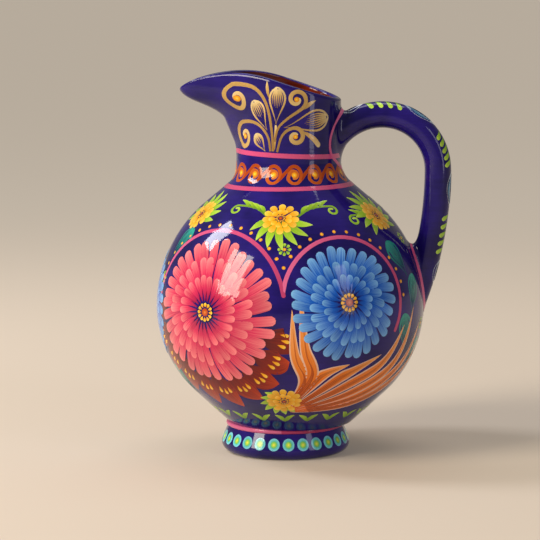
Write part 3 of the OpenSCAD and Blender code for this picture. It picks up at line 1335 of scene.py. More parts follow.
class Brushwork:
    """All strokes of one paint on one part of the pot, as one raised piece.

    Coats are stacked higher than on a real pot, so that no stroke sinks into the one under it.
    """

    slot = "painted_line"
    # One coat, the crown in the middle of a stroke and the reach into the clay, in millimetres
    film = 0.032
    crown = 0.03
    depth = 0.3
    # Coats under a first stroke, and the spread among strokes of one coat
    first_coat = 1.2
    coat_spread = 0.3
    # Faces across a stroke and from the edge of a dot to its middle
    stroke_faces = 4
    dot_faces = 3
    # Parts that a stroke's length is measured in, and the share of the way that shows its direction
    length_parts = 24
    glance = 0.004
    # Points nearer than the first and edges shorter than the second are merged, in millimetres
    weld = 0.004
    sliver = 0.002

    def __init__(self, part: str, paint: Paint, material: Material) -> None:
        """Starts with an empty mesh.

        Args:
            part: Name of the painted part of the pot.
            paint: The paint.
            material: Its material.
        """
        self.name = f"{part}_{paint.name.lower()}"
        self.material = material
        self.bm = bmesh.new()
        self.bm.loops.layers.uv.new("brush")
        self.tone = self.bm.verts.layers.float.new("tone")
        self.draw = random.Random(self.name)

    def height(self, coat: float) -> float:
        """Height of a stroke's edge over the ground, a little different for each stroke."""
        return self.film * (self.first_coat + coat + self.coat_spread * self.draw.random())

    def lay(self, columns: int, rows: int, place: Place) -> None:
        """Adds one patch of paint with its own tone.

        Args:
            columns: Number of faces along the patch.
            rows: Number of faces across it.
            place: Gives a point for the shares along and across.
        """
        tone = self.draw.random()
        for vert in sheet(self.bm, columns, rows, place):
            vert[self.tone] = tone

    def pull(
        self,
        chart: Chart,
        line: Sequence[Point],
        width: float,
        taper: Taper = Taper.PETAL,
        rows: int = 12,
        coat: float = 0,
    ) -> None:
        """Pulls one stroke of the brush.

        Args:
            chart: Drawing that the stroke lies on.
            line: Points of its centre line in millimetres.
            width: Largest width in millimetres.
            taper: How the width runs.
            rows: Number of faces along the stroke.
            coat: Number of coats of paint under it.
        """
        at = through(line)
        marks = [at(t) for t in ladder(0.0, 1.0, self.length_parts)]
        blunt = width / max(width, sum((b - a).length for a, b in zip(marks, marks[1:])))
        ground = self.height(coat)
        # Faces crowd towards both ends, where the stroke is round
        ribs = []
        for k in range(rows + 1):
            t = (1 - math.cos(math.pi * k / rows)) / 2
            way = (at(t + self.glance) - at(t - self.glance)).normalized()
            side = Vector((-way.y, way.x))
            stretch = (chart.place(at(t) + side, 0) - chart.place(at(t) - side, 0)).length
            ribs.append((at(t), side * (width * taper.width(t, blunt) / stretch)))

        def place(along: float, across: float) -> Vector:
            """Point of the stroke.

            Args:
                along: Share of the way along it.
                across: Share of the way across it.

            Returns:
                The point in millimetres.
            """
            middle, half = ribs[round(along * rows)]
            s = 2 * across - 1
            return chart.place(middle + half * s, ground + self.crown * (1 - s**2))

        self.lay(rows, self.stroke_faces, place)

    def dot(self, chart: Chart, centre: Point, radius: float, coat: float = 0, around: int = 14) -> None:
        """Sets one round dot.

        Args:
            chart: Drawing that the dot lies on.
            centre: Its middle in millimetres.
            radius: Its radius in millimetres.
            coat: Number of coats of paint under it.
            around: Number of faces round its edge.
        """
        ground = self.height(coat)

        def place(inward: float, turn: float) -> Vector:
            """Point of the dot at shares of the way to its middle and of the turn."""
            spot = Vector(centre) + polar(-360 * turn, radius * (1 - inward))
            return chart.place(spot, ground + self.crown * (1 - (1 - inward) ** 2))

        self.lay(self.dot_faces, around, place)

    def dry(self) -> Object:
        """Closes the strokes into one piece of paint.

        Returns:
            The piece.
        """
        bmesh.ops.remove_doubles(self.bm, verts=self.bm.verts, dist=self.weld)
        bmesh.ops.dissolve_degenerate(self.bm, edges=self.bm.edges, dist=self.sliver)
        piece = finish_piece(self.bm, self.name, [self.material], sharp=75.0)
        skin = piece.modifiers.new("thickness", "SOLIDIFY")
        skin.thickness = self.depth * MM
        skin.offset = -1.0
        return piece


Pots = dict[Paint, Brushwork]


class Palette:
    """Materials of all paints."""

    def __init__(self) -> None:
        """Mixes every paint once."""
        self.materials = {paint: paint.value.material() for paint in Paint}

    def open(self, part: str) -> Pots:
        """Opens a pot of every paint for one part of the pitcher."""
        return {paint: Brushwork(part, paint, material) for paint, material in self.materials.items()}


class Ornament(ABC):
    """Brushwork on one part of the pitcher."""

    part: ClassVar[str]

    @abstractmethod
    def draw(self, pots: Pots) -> None:
        """Draws all strokes with the open paints."""

    def paint(self, palette: Palette) -> list[Object]:
        """Draws the ornament and lets it dry.

        Args:
            palette: The mixed paints.

        Returns:
            A piece for each paint that was used.
        """
        pots = palette.open(self.part)
        self.draw(pots)
        return [pot.dry() for pot in pots.values() if pot.bm.faces]


@dataclass(frozen=True)
class Scroll:
    """Scroll of the gold ornament: a stem that runs into a curl round a bright dot."""

    stem: tuple[Point, ...]
    centre: Point
    radius: float
    start: float
    sweep: float
    squash: float = 1.0
    width: float = 2.7
    core: float = 1.9
    tight: float = 0.2

    def paint(self, chart: Chart, pots: Pots, side: float) -> None:
        """Draws the scroll.

        Args:
            chart: Drawing that it lies on.
            pots: Open paints.
            side: 1, or -1 for its mirror image.
        """
        radii = (self.radius, self.tight * self.radius)
        line = [*self.stem, *curl(self.centre, radii, self.start, self.sweep, self.squash)]
        pots[Paint.GOLD].pull(chart, flipped(line, side), self.width, Taper.SCROLL, rows=84, coat=3)
        pots[Paint.YELLOW].dot(chart, (side * self.centre[0], self.centre[1]), self.core, coat=5)


@dataclass(frozen=True)
class OpenLeaf:
    """Leaf drawn as an outline with fine brush lines fanning in its lobe."""

    base: Point
    tip: Point
    width: float
    line: float = 1.5
    hairs: int = 5
    hair_from: float = 0.42
    hair_to: float = 0.95
    hair_fan: float = 0.66
    hair_width: float = 0.75
    # How much later the lines near the edge begin
    hair_lag: float = 0.16
    fullness: float = 1.9
    roundness: float = 0.75

    def paint(self, chart: Chart, pot: Brushwork, side: float) -> None:
        """Draws both sides of the leaf and the lines in its lobe.

        Args:
            chart: Drawing that it lies on.
            pot: Open paint.
            side: 1, or -1 for its mirror image.
        """
        base, tip = (Vector(p) for p in flipped((self.base, self.tip), side))
        along = tip - base
        across = Vector((-along.y, along.x)).normalized() * self.width / 2

        def spot(t: float, share: float) -> Point:
            """Place in the leaf at a share of its length and of its half width."""
            swell = max(0.0, math.sin(math.pi * t**self.fullness)) ** self.roundness
            return tuple(base + along * t + across * (share * swell))

        for share in (-1.0, 1.0):
            edge = [spot(t, share) for t in ladder(0.0, 1.0, 12)]
            pot.pull(chart, edge, self.line, Taper.PETAL, rows=20)
        for share in ladder(-self.hair_fan, self.hair_fan, self.hairs - 1):
            start = self.hair_from + self.hair_lag * abs(share)
            hair = [spot(t, share) for t in ladder(start, self.hair_to, 2)]
            pot.pull(chart, hair, self.hair_width * self.line, Taper.PETAL, rows=8)


@dataclass(frozen=True)
class Flower:
    """Round flower of brush petals in rings about a dotted heart."""

    petal_paint: Paint
    radius: float
    petals: int
    swirl: float
    shares: tuple[float, ...] = (1.0, 0.72, 0.48)
    root: float = 0.3
    heart: float = 7.0
    fill: float = 0.8
    # How the number of petals falls with the size of a ring, and where they are broadest
    thinning: float = 0.55
    broadest: float = 0.86
    # Spread of a hand's petals, in turns of one petal and in length
    stray: float = 0.12
    shortest: float = 0.92
    first_coat: int = 7
    # Dabs of the heart, with their width and the middle dot as shares of its radius
    dabs: int = 12
    dab_width: float = 0.36
    middle: float = 0.4

    def paint(self, chart: Chart, pots: Pots, side: float) -> None:
        """Draws the rings from the outside in, then the heart.

        Args:
            chart: Drawing with the flower at its middle.
            pots: Open paints.
            side: 1, or -1 for its mirror image.
        """
        pot = pots[self.petal_paint]
        for ring, share in enumerate(self.shares):
            outer, count = self.radius * share, round(self.petals * share**self.thinning)
            width = self.fill * math.tau * outer * self.broadest / count
            for k in range(count):
                a = 360 * (k + 0.5 * (ring % 2) + pot.draw.uniform(-self.stray, self.stray)) / count
                reach = outer * pot.draw.uniform(self.shortest, 1.0)
                runs = [(t, self.root + (1 - self.root) * t) for t in (0, 0.5, 1)]
                line = [polar(a + self.swirl * t, reach * run) for t, run in runs]
                pot.pull(chart, flipped(line, side), width, Taper.PETAL, coat=self.first_coat + ring)
        heart_coat = self.first_coat + 4
        pots[Paint.DARK].dot(chart, (0, 0), self.heart, coat=heart_coat, around=28)
        for k in range(self.dabs):
            dab = [polar(360 / self.dabs * k, self.heart * t) for t in (0.5, 0.95)]
            width = self.dab_width * self.heart
            pots[Paint.YELLOW].pull(chart, dab, width, Taper.PETAL, rows=6, coat=heart_coat + 1)
        pots[Paint.SPIRAL].dot(chart, (0, 0), self.middle * self.heart, coat=heart_coat + 2)


@dataclass
class NeckOrnament(Ornament):
    """Pink bands, the running spiral on the collar and the gold scrolls on the mouth.

    A band has its height, how far it leans over the pot's width and its own width.
    """

    part: ClassVar[str] = "neck"
    form: Form
    bands: tuple[Point3, ...] = ((221.7, 1.5, 3.4), (198.7, -0.9, 4.2))
    band_parts: int = 48
    spirals: int = 16
    spiral_shift: float = 0.35
    spiral_z: float = 208.2
    spiral_width: float = 2.6
    spiral_dot_r: float = 2.0
    scroll_phi: float = -16.0
    scroll_z: float = 224.0

    def draw(self, pots: Pots) -> None:
        """Draws the neck all round.

        Args:
            pots: Open paints.
        """
        self.draw_bands(pots[Paint.PINK])
        self.running_spiral(pots)
        for side, phi in ((1.0, self.scroll_phi), (-1.0, 180 - self.scroll_phi)):
            self.scrollwork(WallChart(self.form, phi, self.scroll_z), pots, side)

    def draw_bands(self, pot: Brushwork) -> None:
        """Draws the two bands that border the collar, leaning a little as a hand draws them.

        Args:
            pot: Open paint.
        """
        chart = WallChart(self.form, 180, 0)
        turns = ladder(0.0, math.tau, self.band_parts)
        for z, lean, width in self.bands:
            ring = [(self.form.neck_r * a, z + lean * math.sin(a)) for a in turns]
            pot.pull(chart, ring, width, Taper.RING, rows=160, coat=3)

    def running_spiral(self, pots: Pots) -> None:
        """Draws the row of joined spirals on the collar, each a tail, a ring and a tight core.

        Args:
            pots: Open paints.
        """
        line = [(-12.2, -4.9), (-9.8, -2.8), (-7.0, 0.6)]
        line += curl((0, 0), (6.2, 5.8), 146, -300, 0.8, count=16)
        line += curl((0, 0), (4.6, 2.5), 184, -97, 0.8, count=4)
        line += curl((0, 0), (2.5, 2.0), 66, -186, 0.9, count=7)
        for k in range(self.spirals):
            chart = WallChart(self.form, 360 * (k + self.spiral_shift) / self.spirals, self.spiral_z)
            pots[Paint.SPIRAL].pull(chart, line, self.spiral_width, Taper.LINE, rows=96)
            pots[Paint.YELLOW].dot(chart, (0, 0), self.spiral_dot_r, coat=2)

    def scrollwork(self, chart: Chart, pots: Pots, side: float) -> None:
        """Draws the spray of scrolls, leaves and buds that rises from the upper band.

        Args:
            chart: Drawing with the spray's root at its middle.
            pots: Open paints.
            side: 1, or -1 for its mirror image.
        """
        gold = pots[Paint.GOLD]
        tall = ((0, 1), (-1, 15), (-4, 31), (-9, 41), (-16, 47))
        left = ((-2, 1), (-4, 11), (-10, 18.5), (-18, 21.6))
        high = ((1, 8), (4, 18), (10.5, 24.5), (17, 29))
        low = ((3, 0.5), (5.6, 10), (9, 15))
        scrolls = (
            Scroll(tall, (-26.7, 38.3), 10.6, 88, 445, 0.7, 3.5, 2.3),
            Scroll(left, (-27.2, 10.8), 10.6, 92, 445, 0.85, 3.3, 2.1),
            Scroll(high, (17.2, 38.4), 7.6, -58, 445, 1.0, 3.0, 1.9),
            Scroll(low, (16.4, 11.6), 6.8, 124, -445, 1.0, 3.1, 1.7),
        )
        for scroll in scrolls:
            scroll.paint(chart, pots, side)
        leaves = (
            OpenLeaf((-4.8, 15.9), (-16.1, 37.0), 10.5),
            OpenLeaf((-6.0, 0.5), (-15.2, 12.8), 7.5, hairs=4),
            OpenLeaf((2.1, 20.0), (3.6, 47.2), 11.5, hairs=6),
            OpenLeaf((8.0, 18.2), (43.2, 25.4), 14.5, hairs=7),
        )
        for leaf in leaves:
            leaf.paint(chart, gold, side)
        strokes = (
            (((0.6, 2), (1.6, 11), (2.1, 20)), 1.7, Taper.LINE),
            (((20, 15.5), (24, 14), (30.5, 9.5), (35, 4)), 3.8, Taper.PETAL),
            (((-3.4, 39.5), (-4.6, 46), (-4.8, 52)), 2.4, Taper.LEAF),
            (((21.5, 31), (26.5, 34.8), (31.8, 37.6)), 2.9, Taper.LEAF),
        )
        for line, width, taper in strokes:
            gold.pull(chart, flipped(line, side), width, taper)


@dataclass
class HandleOrnament(Ornament):
    """Leaves and pairs of dabs along the handle's outer side, and a pink line round each root.

    A leaf has the distances of its root and tip from the neck and its paint. A row of dabs has the distances
    of its first and last pair and the number of pairs.
    """

    part: ClassVar[str] = "handle"
    handle: Handle
    leaves: tuple[tuple[float, float, Paint], ...] = (
        (10, 24, Paint.PALE),
        (48, 71, Paint.SLATE),
        (99, 127, Paint.SLATE),
        (162, 183, Paint.PALE),
    )
    leaf_width: float = 15.0
    leaf_inner: float = 0.8
    vein_width: float = 0.7
    dabs: tuple[tuple[float, float, int], ...] = ((27, 45, 4), (76, 94, 5), (132, 156, 5))
    dab_width: float = 3.3
    # Pink lines: their width, height over the clay, and how they run round each root
    line: float = 2.8
    line_edge: float = 0.12
    line_crown: float = 0.06
    low_start: float = 4.4
    low_rows: float = 5.0
    up_near: float = 2.9
    up_side: float = 12.5
    up_lift: float = 5.0
    up_turn: float = 0.75

    def draw(self, pots: Pots) -> None:
        """Draws the ornament of the whole handle.

        Args:
            pots: Open paints.
        """
        chart = HandleChart(self.handle)
        for start, end, paint in self.leaves:
            self.leaf(chart, pots, start, end, paint)
        for start, end, count in self.dabs:
            for x in ladder(start, end, count - 1):
                for side in (-1.0, 1.0):
                    dab = [(x - 2.2, side * 1.4), (x + 0.3, side * 5.0), (x + 2.2, side * 9.4)]
                    pots[Paint.LIME].pull(chart, dab, self.dab_width, Taper.PETAL, rows=8)
        pots[Paint.PINK].lay(columns=120, rows=6, place=self.upper_line)
        pots[Paint.PINK].lay(columns=96, rows=6, place=self.lower_line)

    def leaf(self, chart: Chart, pots: Pots, start: float, end: float, paint: Paint) -> None:
        """Draws one long leaf with a pale edge and dark veins.

        Args:
            chart: Drawing of the handle.
            pots: Open paints.
            start: Distance of its root from the neck.
            end: Distance of its tip from the neck.
            paint: Its paint.
        """
        middle = (start + end) / 2
        edge = [(start, 0.0), (middle, 0.0), (end, 0.0)]
        pots[Paint.PALE].pull(chart, edge, self.leaf_width, Taper.LEAF, rows=18)
        if paint is not Paint.PALE:
            inner = [(start + 2.4, 0.0), (middle, 0.0), (end - 2.0, 0.0)]
            pots[paint].pull(chart, inner, self.leaf_inner * self.leaf_width, Taper.LEAF, rows=18, coat=2)
        for k in range(-2, 3):
            vein = [(start + 3.0, 0.4 * k), (middle, 1.5 * k), (end - 4.5, 0.9 * k)]
            pots[Paint.DARK].pull(chart, vein, self.vein_width, Taper.TAIL, rows=8, coat=4)

    def raised(self, point: Vector, way: Vector, across: float) -> Vector:
        """Lifts a point of a pink line off the clay, most in the line's middle, and sets it in the frame."""
        lift = self.line_edge + self.line_crown * math.sin(math.pi * across)
        return point + way * lift + self.handle.form.axis

    def upper_line(self, around: float, across: float) -> Vector:
        """Point of the line round the upper root, which swings out on both sides and lifts underneath.

        Args:
            around: Share of the turn round the handle.
            across: Share of the way across the line.

        Returns:
            The point in millimetres.
        """
        a = math.tau * around
        low = 0.5 - 0.5 * math.cos(a)
        away = self.up_near + self.up_side * smooth(low / self.up_turn) + self.line * (across - 0.5)
        away -= self.up_lift * smooth((low - self.up_turn) / (1 - self.up_turn))
        point = self.handle.upper_clay(a, away)
        wall = Vector((point.x, point.y, 0)).normalized()
        side = self.handle.outward(a, self.handle.root_end(a)[0])
        way = wall if away > self.handle.form.upper_fillet else (side + wall).normalized()
        return self.raised(point, way, across)

    def lower_line(self, around: float, across: float) -> Vector:
        """Point of the line round the lower root, along the rows of the smoothed clay.

        Args:
            around: Share of the turn round the handle.
            across: Share of the way across the line.

        Returns:
            The point in millimetres.
        """
        handle, form = self.handle, self.handle.form
        a = math.tau * around
        rows = handle.line(a)
        near = self.low_start + across * self.low_rows * form.lower_fillet / handle.low_spread(a)
        k = int(near)
        point = rows[-k].lerp(rows[-k - 1], near - k)
        side = handle.outward(a, handle.tail_end(a)[0])
        wall = (rows[-1] - Vector((0, 0, form.belly_z))).normalized()
        return self.raised(point, (side + wall).normalized(), across)


@dataclass
class FootOrnament(Ornament):
    """Row of ringed dots on the foot and the pink line in the joint over it."""

    part: ClassVar[str] = "foot"
    foot: Foot
    dots: int = 27
    dot_z: float = 12.0
    dot_r: float = 4.4
    dot_heart: float = 0.56
    line_r: float = 1.8
    line_out: float = 0.5
    line_drop: float = 0.4

    def draw(self, pots: Pots) -> None:
        """Draws the foot all round.

        Args:
            pots: Open paints.
        """
        form = self.foot.form
        wall = self.foot.wall()
        chart = FootChart(form, tuple(wall))
        for k in range(self.dots):
            spot = (form.foot_r * math.tau * (k + 0.5) / self.dots, self.dot_z)
            pots[Paint.AQUA].dot(chart, spot, self.dot_r, around=22)
            pots[Paint.LEMON].dot(chart, spot, self.dot_heart * self.dot_r, coat=2, around=18)
        joint_r, joint_z = wall[-1][0] + self.line_out, form.floor_z - self.line_drop

        def bead(around: float, across: float) -> Vector:
            """Point of the half-round line.

            Args:
                around: Share of the turn round the foot.
                across: Share of the way across the line.

            Returns:
                The point in millimetres.
            """
            turn, phi = math.pi * (across - 0.5), math.tau * around
            r = joint_r + self.line_r * math.cos(turn)
            return Vector((r * math.sin(phi), -r * math.cos(phi), joint_z + self.line_r * math.sin(turn)))

        pots[Paint.PINK].lay(columns=120, rows=8, place=bead)


@dataclass
class BellyOrnament(Ornament):
    """Flower garden on the round body, drawn for the front half and mirrored to the back half.

    A place on the body has the angle from the front towards the handle and the angle above the widest part,
    both in degrees.
    """

    part: ClassVar[str] = "belly"
    form: Form
    coral: Flower = Flower(Paint.CORAL, 56.0, 34, 9.0)
    coral_at: Point = (-34.0, 3.0)
    blue: Flower = Flower(Paint.BLUE, 43.0, 28, -14.0)
    blue_at: Point = (29.0, 8.0)
    under_spout: Point = (-90.0, 0.0)
    bloom: Flower = Flower(Paint.YELLOW, 14.0, 12, 0.0, shares=(1.0, 0.62), heart=3.4)
    blades_at: Point = (8.0, 0.0)
    # From a flower's edge to the arch over it, and on to the arch's dots
    arch_gap: float = 5.5
    arch_dots: float = 4.6
    heel_leaves: int = 22
    heel_rise: float = -50.0
    # Largest widths of the strokes and radii of the dots
    red_width: float = 19.5
    red_dab: float = 2.6
    blade_width: float = 9.6
    fine_width: float = 1.0
    arch_width: float = 3.0
    arch_dot_r: float = 1.4
    spray_width: float = 5.6
    stem_width: float = 1.8
    tendril_width: float = 3.0
    teal_width: float = 14.5
    teal_crown: float = 11.5
    rosette_dab: float = 2.5
    rosette_dot_r: float = 1.3
    heel_width: float = 3.6

    def chart(self, at: Point, side: float) -> BellyChart:
        """Chart about a place on the front half, or about its mirror image on the back half."""
        return BellyChart.about(self.form, at[0] if side > 0 else 180 - at[0], at[1])

    def draw(self, pots: Pots) -> None:
        """Draws both halves, then the flower under the spout and the ring of leaves over the foot.

        Args:
            pots: Open paints.
        """
        for side in (1.0, -1.0):
            self.red_leaves(pots, side)
            self.blades(pots, side)
            self.coral.paint(self.chart(self.coral_at, side), pots, side)
            self.blue.paint(self.chart(self.blue_at, side), pots, side)
            self.arches(pots, side)
            self.sprays(pots, side)
            self.tendrils(pots[Paint.LIME], side)
            self.teal_leaves(pots[Paint.TEAL], side)
            self.rosettes(pots, side)
        self.blue.paint(self.chart(self.under_spout, 1.0), pots, 1.0)
        self.foot_leaves(pots[Paint.LIME])

    def red_leaves(self, pots: Pots, side: float) -> None:
        """Draws broad oxide-red leaves behind the lower half of the coral flower, dabbed with yellow.

        Args:
            pots: Open paints.
            side: 1, or -1 for the mirror image.
        """
        chart = self.chart(self.coral_at, side)
        count, first, step = 10, 186.0, 17.5
        root, broad, longest, shorter = 46.0, 64.0, 84.0, 3.4
        dabs_from, dab_length = 61.0, 6.0
        for k in range(count):
            a = first + step * k
            tip = longest - shorter * abs(k - (count - 1) / 2)
            line = [polar(a - 4, root), polar(a, broad), polar(a + 5, tip)]
            pots[Paint.RED].pull(chart, flipped(line, side), self.red_width, Taper.LEAF, rows=16)
            for share in (-1, 0, 1):
                near = dabs_from - 1.5 * abs(share)
                dab = [polar(a + 4 * share, near), polar(a + 4.2 * share, near + dab_length)]
                pots[Paint.YELLOW].pull(chart, flipped(dab, side), self.red_dab, Taper.PETAL, rows=6, coat=2)

    def blades(self, pots: Pots, side: float) -> None:
        """Draws long orange blades that rise like a fountain from the bottom of the body, with fine lines.

        Args:
            pots: Open paints.
            side: 1, or -1 for the mirror image.
        """
        chart = self.chart(self.blades_at, side)
        lines = (
            ((-6, -80), (54, -76), (100, -58), (126, -28)),
            ((-6, -79), (50, -69), (94, -46), (118, -10)),
            ((-6, -78), (46, -61), (84, -39), (104, 6)),
            ((-6, -77), (38, -53), (70, -36), (90, -8)),
            ((-7, -76), (26, -48), (42, -39), (66, -29)),
            ((-8, -75), (12, -46), (22, -38), (38, -33)),
            ((-10, -74), (4, -46), (-4, -22), (-6, 10)),
            ((-9, -74), (9, -42), (3, -16), (0, 22)),
        )
        for k, line in enumerate(lines):
            blade, coat = flipped(line, side), 1 + 0.5 * k
            pots[Paint.ORANGE].pull(chart, blade, self.blade_width, Taper.BLADE, rows=36, coat=coat)
            at = through(line)
            for off in (-1.3, 0.2, 1.7):
                fine = [at(t) + Vector((0.7, -1)) * off * (1 - t) for t in (0.08, 0.35, 0.6, 0.86)]
                pots[Paint.SPIRAL].pull(
                    chart, flipped(fine, side), self.fine_width, Taper.TAIL, rows=36, coat=coat + 1.2
                )

    def arches(self, pots: Pots, side: float) -> None:
        """Draws the pink arches over the flowers, with a row of yellow dots over each.

        Args:
            pots: Open paints.
            side: 1, or -1 for the mirror image.
        """
        spans = ((self.coral_at, self.coral, 14, 178), (self.blue_at, self.blue, -30, 170))
        for place, flower, start, end in spans:
            chart = self.chart(place, side)
            radius = flower.radius + self.arch_gap
            arch = curl((0, 0), (radius, radius), start, end - start)
            pots[Paint.PINK].pull(chart, flipped(arch, side), self.arch_width, Taper.LINE, rows=44, coat=1)
            for a in ladder(start, end, 18)[3:17]:
                spot = polar(a, radius + self.arch_dots)
                pots[Paint.YELLOW].dot(chart, (side * spot.x, spot.y), self.arch_dot_r, around=10)

    def sprays(self, pots: Pots, side: float) -> None:
        """Draws fans of lime leaves with a small bloom at the root of each.

        Args:
            pots: Open paints.
            side: 1, or -1 for the mirror image.
        """
        step = 25.0
        fans = ((-64, 45, 90, 9, 25), (66, 45, 90, 11, 26), (-2, 46, 270, 7, 27), (0.5, -38.5, 215, 7, 20))
        for phi, rise, turn, count, size in fans:
            chart = self.chart((phi, rise), side)
            for k in range(count):
                a = turn - step / 2 * (count - 1) + step * k
                reach = size - 8 * abs(k - (count - 1) / 2) / count
                leaf = [polar(a - 5, 3), polar(a, 0.6 * reach), polar(a + 7, reach)]
                pots[Paint.LIME].pull(chart, flipped(leaf, side), self.spray_width, Taper.LEAF, coat=3)
            self.bloom.paint(chart, pots, side)

    def tendrils(self, pot: Brushwork, side: float) -> None:
        """Draws curling tendrils with four leaves each on the shoulder.

        Args:
            pot: Open paint.
            side: 1, or -1 for the mirror image.
        """
        stem = [(-26, -2), (-15, 3.4), (-5, 4.4), *curl((2, 0), (4.6, 1.4), 110, -430)]
        for phi, rise, way in ((30, 50, 1.0), (-32, 50, -1.0), (46, 44, -1.0)):
            chart = self.chart((phi, rise), side)
            pot.pull(chart, flipped(stem, side * way), self.stem_width, Taper.LINE, rows=40)
            for k in range(4):
                leaf = [(x + 5 * k, y + k) for x, y in ((-22, 0.5), (-18, 5), (-13, 7))]
                pot.pull(chart, flipped(leaf, side * way), self.tendril_width, Taper.LEAF, rows=10)

    def teal_leaves(self, pot: Brushwork, side: float) -> None:
        """Draws open leaves with a solid crown at both flanks.

        Args:
            pot: Open paint.
            side: 1, or -1 for the mirror image.
        """
        half = 15
        places = ((63, 24, 112), (69, 8, 68), (62, -8, 104), (76, -20, 66), (-66, -33, 110), (-64, 30, 60))
        for phi, rise, turn in places:
            chart = self.chart((phi, rise), side)
            base, tip = polar(turn, -half), polar(turn, half)
            leaf = OpenLeaf(tuple(base), tuple(tip), self.teal_width, line=1.7, hairs=9, hair_from=0.2)
            leaf.paint(chart, pot, side)
            crown = [polar(turn, 2), polar(turn, half - 1)]
            pot.pull(chart, flipped(crown, side), self.teal_crown, Taper.PETAL, rows=14)

    def rosettes(self, pots: Pots, side: float) -> None:
        """Draws small lime rosettes with a yellow middle.

        Args:
            pots: Open paints.
            side: 1, or -1 for the mirror image.
        """
        dabs = 8
        for place in ((78, 32), (80, -6), (1, 31), (-70, 14)):
            chart = self.chart(place, side)
            for k in range(dabs):
                dab = [polar(360 / dabs * k, far) for far in (1.8, 4.9)]
                pots[Paint.LIME].pull(chart, dab, self.rosette_dab, Taper.PETAL, rows=6)
            pots[Paint.YELLOW].dot(chart, (0, 0), self.rosette_dot_r, coat=1)

    def foot_leaves(self, pot: Brushwork) -> None:
        """Draws the ring of paired lime leaves just above the foot.

        Args:
            pot: Open paint.
        """
        for k in range(self.heel_leaves):
            chart = BellyChart.about(self.form, 360 * k / self.heel_leaves, self.heel_rise)
            for way in (-1, 1):
                leaf = flipped([(0.0, -8.0), (3.0, -2.5), (7.4, 0.6)], way)
                pot.pull(chart, leaf, self.heel_width, Taper.LEAF, rows=10, coat=1)


@dataclass(frozen=True)
class Lamp:
    """Rectangular soft lamp: place and size in metres, power in watts, light as sRGB hex."""

    name: str
    place: Point3
    size: Point
    power: float
    colour: str

    def hang(self, aim: Point3) -> None:
        """Hangs the lamp.

        Args:
            aim: The point that it faces.
        """
        data = bpy.data.lights.new(self.name, "AREA")
        data.shape = "RECTANGLE"
        data.size, data.size_y = self.size
        data.energy = self.power
        data.color = linear(self.colour)[:3]
        lamp = bpy.data.objects.new(self.name, data)
        way = Vector(aim) - Vector(self.place)
        lamp.matrix_world = Matrix.Translation(self.place) @ way.to_track_quat("-Z", "Y").to_matrix().to_4x4()
        bpy.context.scene.collection.objects.link(lamp)


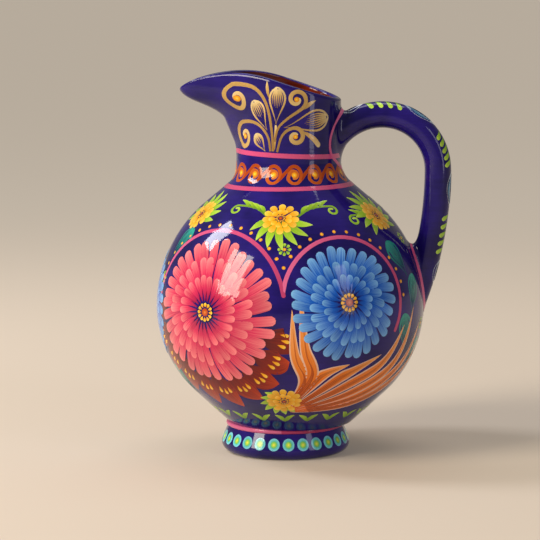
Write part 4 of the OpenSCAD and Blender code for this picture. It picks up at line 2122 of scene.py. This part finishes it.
@dataclass(frozen=True)
class Studio:
    """Pale floor, soft lamps and the camera at the photograph's angle, with lengths in metres."""

    azimuth: float = 4.0
    distance: float = 1.8
    height: float = 0.3646
    focal_px: float = 2456.8
    origin_px: Point = (285.74, 448.86)
    frame_px: float = 540.0
    aim: Point3 = (0.0, 0.0, 0.14)
    lamps: tuple[Lamp, ...] = (
        Lamp("key_left", (-1.9, -1.52, 1.4), (0.95, 1.7), 76.0, "#fff3e2"),
        Lamp("high_left", (-1.62, 0.2, 1.62), (0.5, 0.75), 22.0, "#f6f6ff"),
        Lamp("fill_right", (2.0, -1.5, 0.75), (0.5, 2.0), 11.0, "#f4f0ff"),
        Lamp("top", (0.0, 0.5, 1.5), (1.0, 0.5), 5.0, "#ffffff"),
    )
    ambient: str = "#e6ddd2"
    ambient_strength: float = 0.28
    floor_size: float = 40.0
    floor_near: str = "#c6b9a8"
    floor_far: str = "#6e675d"
    floor_glow: str = "#d3c6b5"
    # Distances over which the floor's own colour dims and its glow grows, and the glow's least and most
    dim_from: float = 0.5
    glow_from: float = 0.2
    fade_end: float = 2.0
    glow_span: Point = (0.16, 0.64)

    def camera(self) -> None:
        """Places the camera so that the pot's origin falls where the photograph has it."""
        half = self.frame_px / 2
        a = math.radians(self.azimuth)
        pitch = math.atan2(self.height, self.distance) - math.atan((self.origin_px[1] - half) / self.focal_px)
        turn = math.atan((self.origin_px[0] - half) / self.focal_px) / math.cos(pitch)
        ahead = Vector((-math.sin(a), math.cos(a), 0))
        right = Vector((math.cos(a), math.sin(a), 0))
        level = ahead * math.cos(turn) - right * math.sin(turn)
        right = right * math.cos(turn) + ahead * math.sin(turn)
        look = level * math.cos(pitch) - Vector((0, 0, math.sin(pitch)))
        up = right.cross(look)
        data = bpy.data.cameras.new("camera")
        data.sensor_width = 36.0
        data.lens = self.focal_px / self.frame_px * data.sensor_width
        seat = bpy.data.objects.new("camera", data)
        place = Matrix((right, up, -look)).transposed().to_4x4()
        place.translation = Vector((self.distance * math.sin(a), -self.distance * math.cos(a), self.height))
        seat.matrix_world = place
        bpy.context.scene.collection.objects.link(seat)
        bpy.context.scene.camera = seat

    def light(self) -> None:
        """Lights the pot from two lamps on the left, a soft fill, a faint top lamp and pale surroundings."""
        for lamp in self.lamps:
            lamp.hang(self.aim)
        world = bpy.data.worlds.new("surroundings")
        bpy.context.scene.world = world
        world.use_nodes = True
        background = world.node_tree.nodes["Background"].inputs
        background["Color"].default_value = linear(self.ambient)
        background["Strength"].default_value = self.ambient_strength

    def floor_material(self) -> Material:
        """Matt painted floor: an even pale tone, also in reflections, though the lamps stand over it.

        Its own colour dims with distance, so that no lamp burns it out, and a glow makes up for that where
        camera, reflection or transmission rays see it.

        Returns:
            The finished material.
        """
        material, tree, out = new_material("matt_studio_floor")
        place = add(tree, "ShaderNodeTexCoord").outputs["Object"]
        far = add(tree, "ShaderNodeVectorMath", {0: place}, operation="LENGTH").outputs["Value"]
        dim, glow = (
            add(
                tree,
                "ShaderNodeMapRange",
                {"Value": far, "From Min": near, "From Max": self.fade_end, "To Min": low, "To Max": high},
                interpolation_type="SMOOTHSTEP",
            ).outputs["Result"]
            for near, low, high in ((self.dim_from, 0.0, 1.0), (self.glow_from, *self.glow_span))
        )
        tint = add(
            tree,
            "ShaderNodeMix",
            {"Factor": dim, 6: linear(self.floor_near), 7: linear(self.floor_far)},
            data_type="RGBA",
        ).outputs[2]
        matt = add(tree, "ShaderNodeBsdfPrincipled", {"Base Color": tint, "Roughness": 0.8}).outputs["BSDF"]
        shine = add(tree, "ShaderNodeEmission", {"Color": linear(self.floor_glow), "Strength": glow})
        lit = add(tree, "ShaderNodeAddShader", {0: matt, 1: shine.outputs["Emission"]})
        rays = add(tree, "ShaderNodeLightPath").outputs
        seen = rays["Is Camera Ray"]
        for kind in ("Is Glossy Ray", "Is Transmission Ray"):
            seen = add(tree, "ShaderNodeMath", {0: seen, 1: rays[kind]}, operation="MAXIMUM").outputs[0]
        shown = add(tree, "ShaderNodeMixShader", {0: seen, 1: matt, 2: lit.outputs["Shader"]})
        tree.links.new(shown.outputs["Shader"], out.inputs["Surface"])
        return material

    def floor(self) -> None:
        """Lays the plain pale floor."""
        bm = bmesh.new()
        bmesh.ops.create_grid(bm, x_segments=1, y_segments=1, size=self.floor_size)
        mesh = bpy.data.meshes.new("floor")
        bm.to_mesh(mesh)
        bm.free()
        mesh.materials.append(self.floor_material())
        floor = bpy.data.objects.new("floor", mesh)
        bpy.context.scene.collection.objects.link(floor)

    def build(self) -> None:
        """Sets camera, lamps and floor."""
        self.camera()
        self.light()
        self.floor()
        bpy.context.scene.view_settings.view_transform = "Standard"


def main() -> None:
    """Builds the pot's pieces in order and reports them."""
    logging.basicConfig(level=logging.INFO, format="%(name)s: %(message)s")
    form = Form.from_frame()
    # Indigo ground: two deep violet blues that let every bright stroke stand out
    blue = GroundPaint("indigo_ground_paint", deep="#120850", lit="#261779").material()
    # Glazed terracotta: red-brown clay, as the strip inside the rim shows, with both tones darkened and
    # near-black clouds added as painted shade of the mouth's hollow
    inside = GroundPaint("glazed_terracotta_inside", deep="#200605", lit="#74220e").material()
    Studio().build()
    handle, foot = Handle(form), Foot(form)
    pieces = [Belly(form).build(blue), Mouth(form).build(blue, inside), handle.build(blue), foot.build(blue)]
    palette = Palette()
    for ornament in (NeckOrnament(form), BellyOrnament(form), HandleOrnament(handle), FootOrnament(foot)):
        pieces += ornament.paint(palette)
    for piece in pieces:
        LOG.info("%s: %d faces", piece.name, len(piece.data.polygons))


if __name__ == "__main__":
    main()
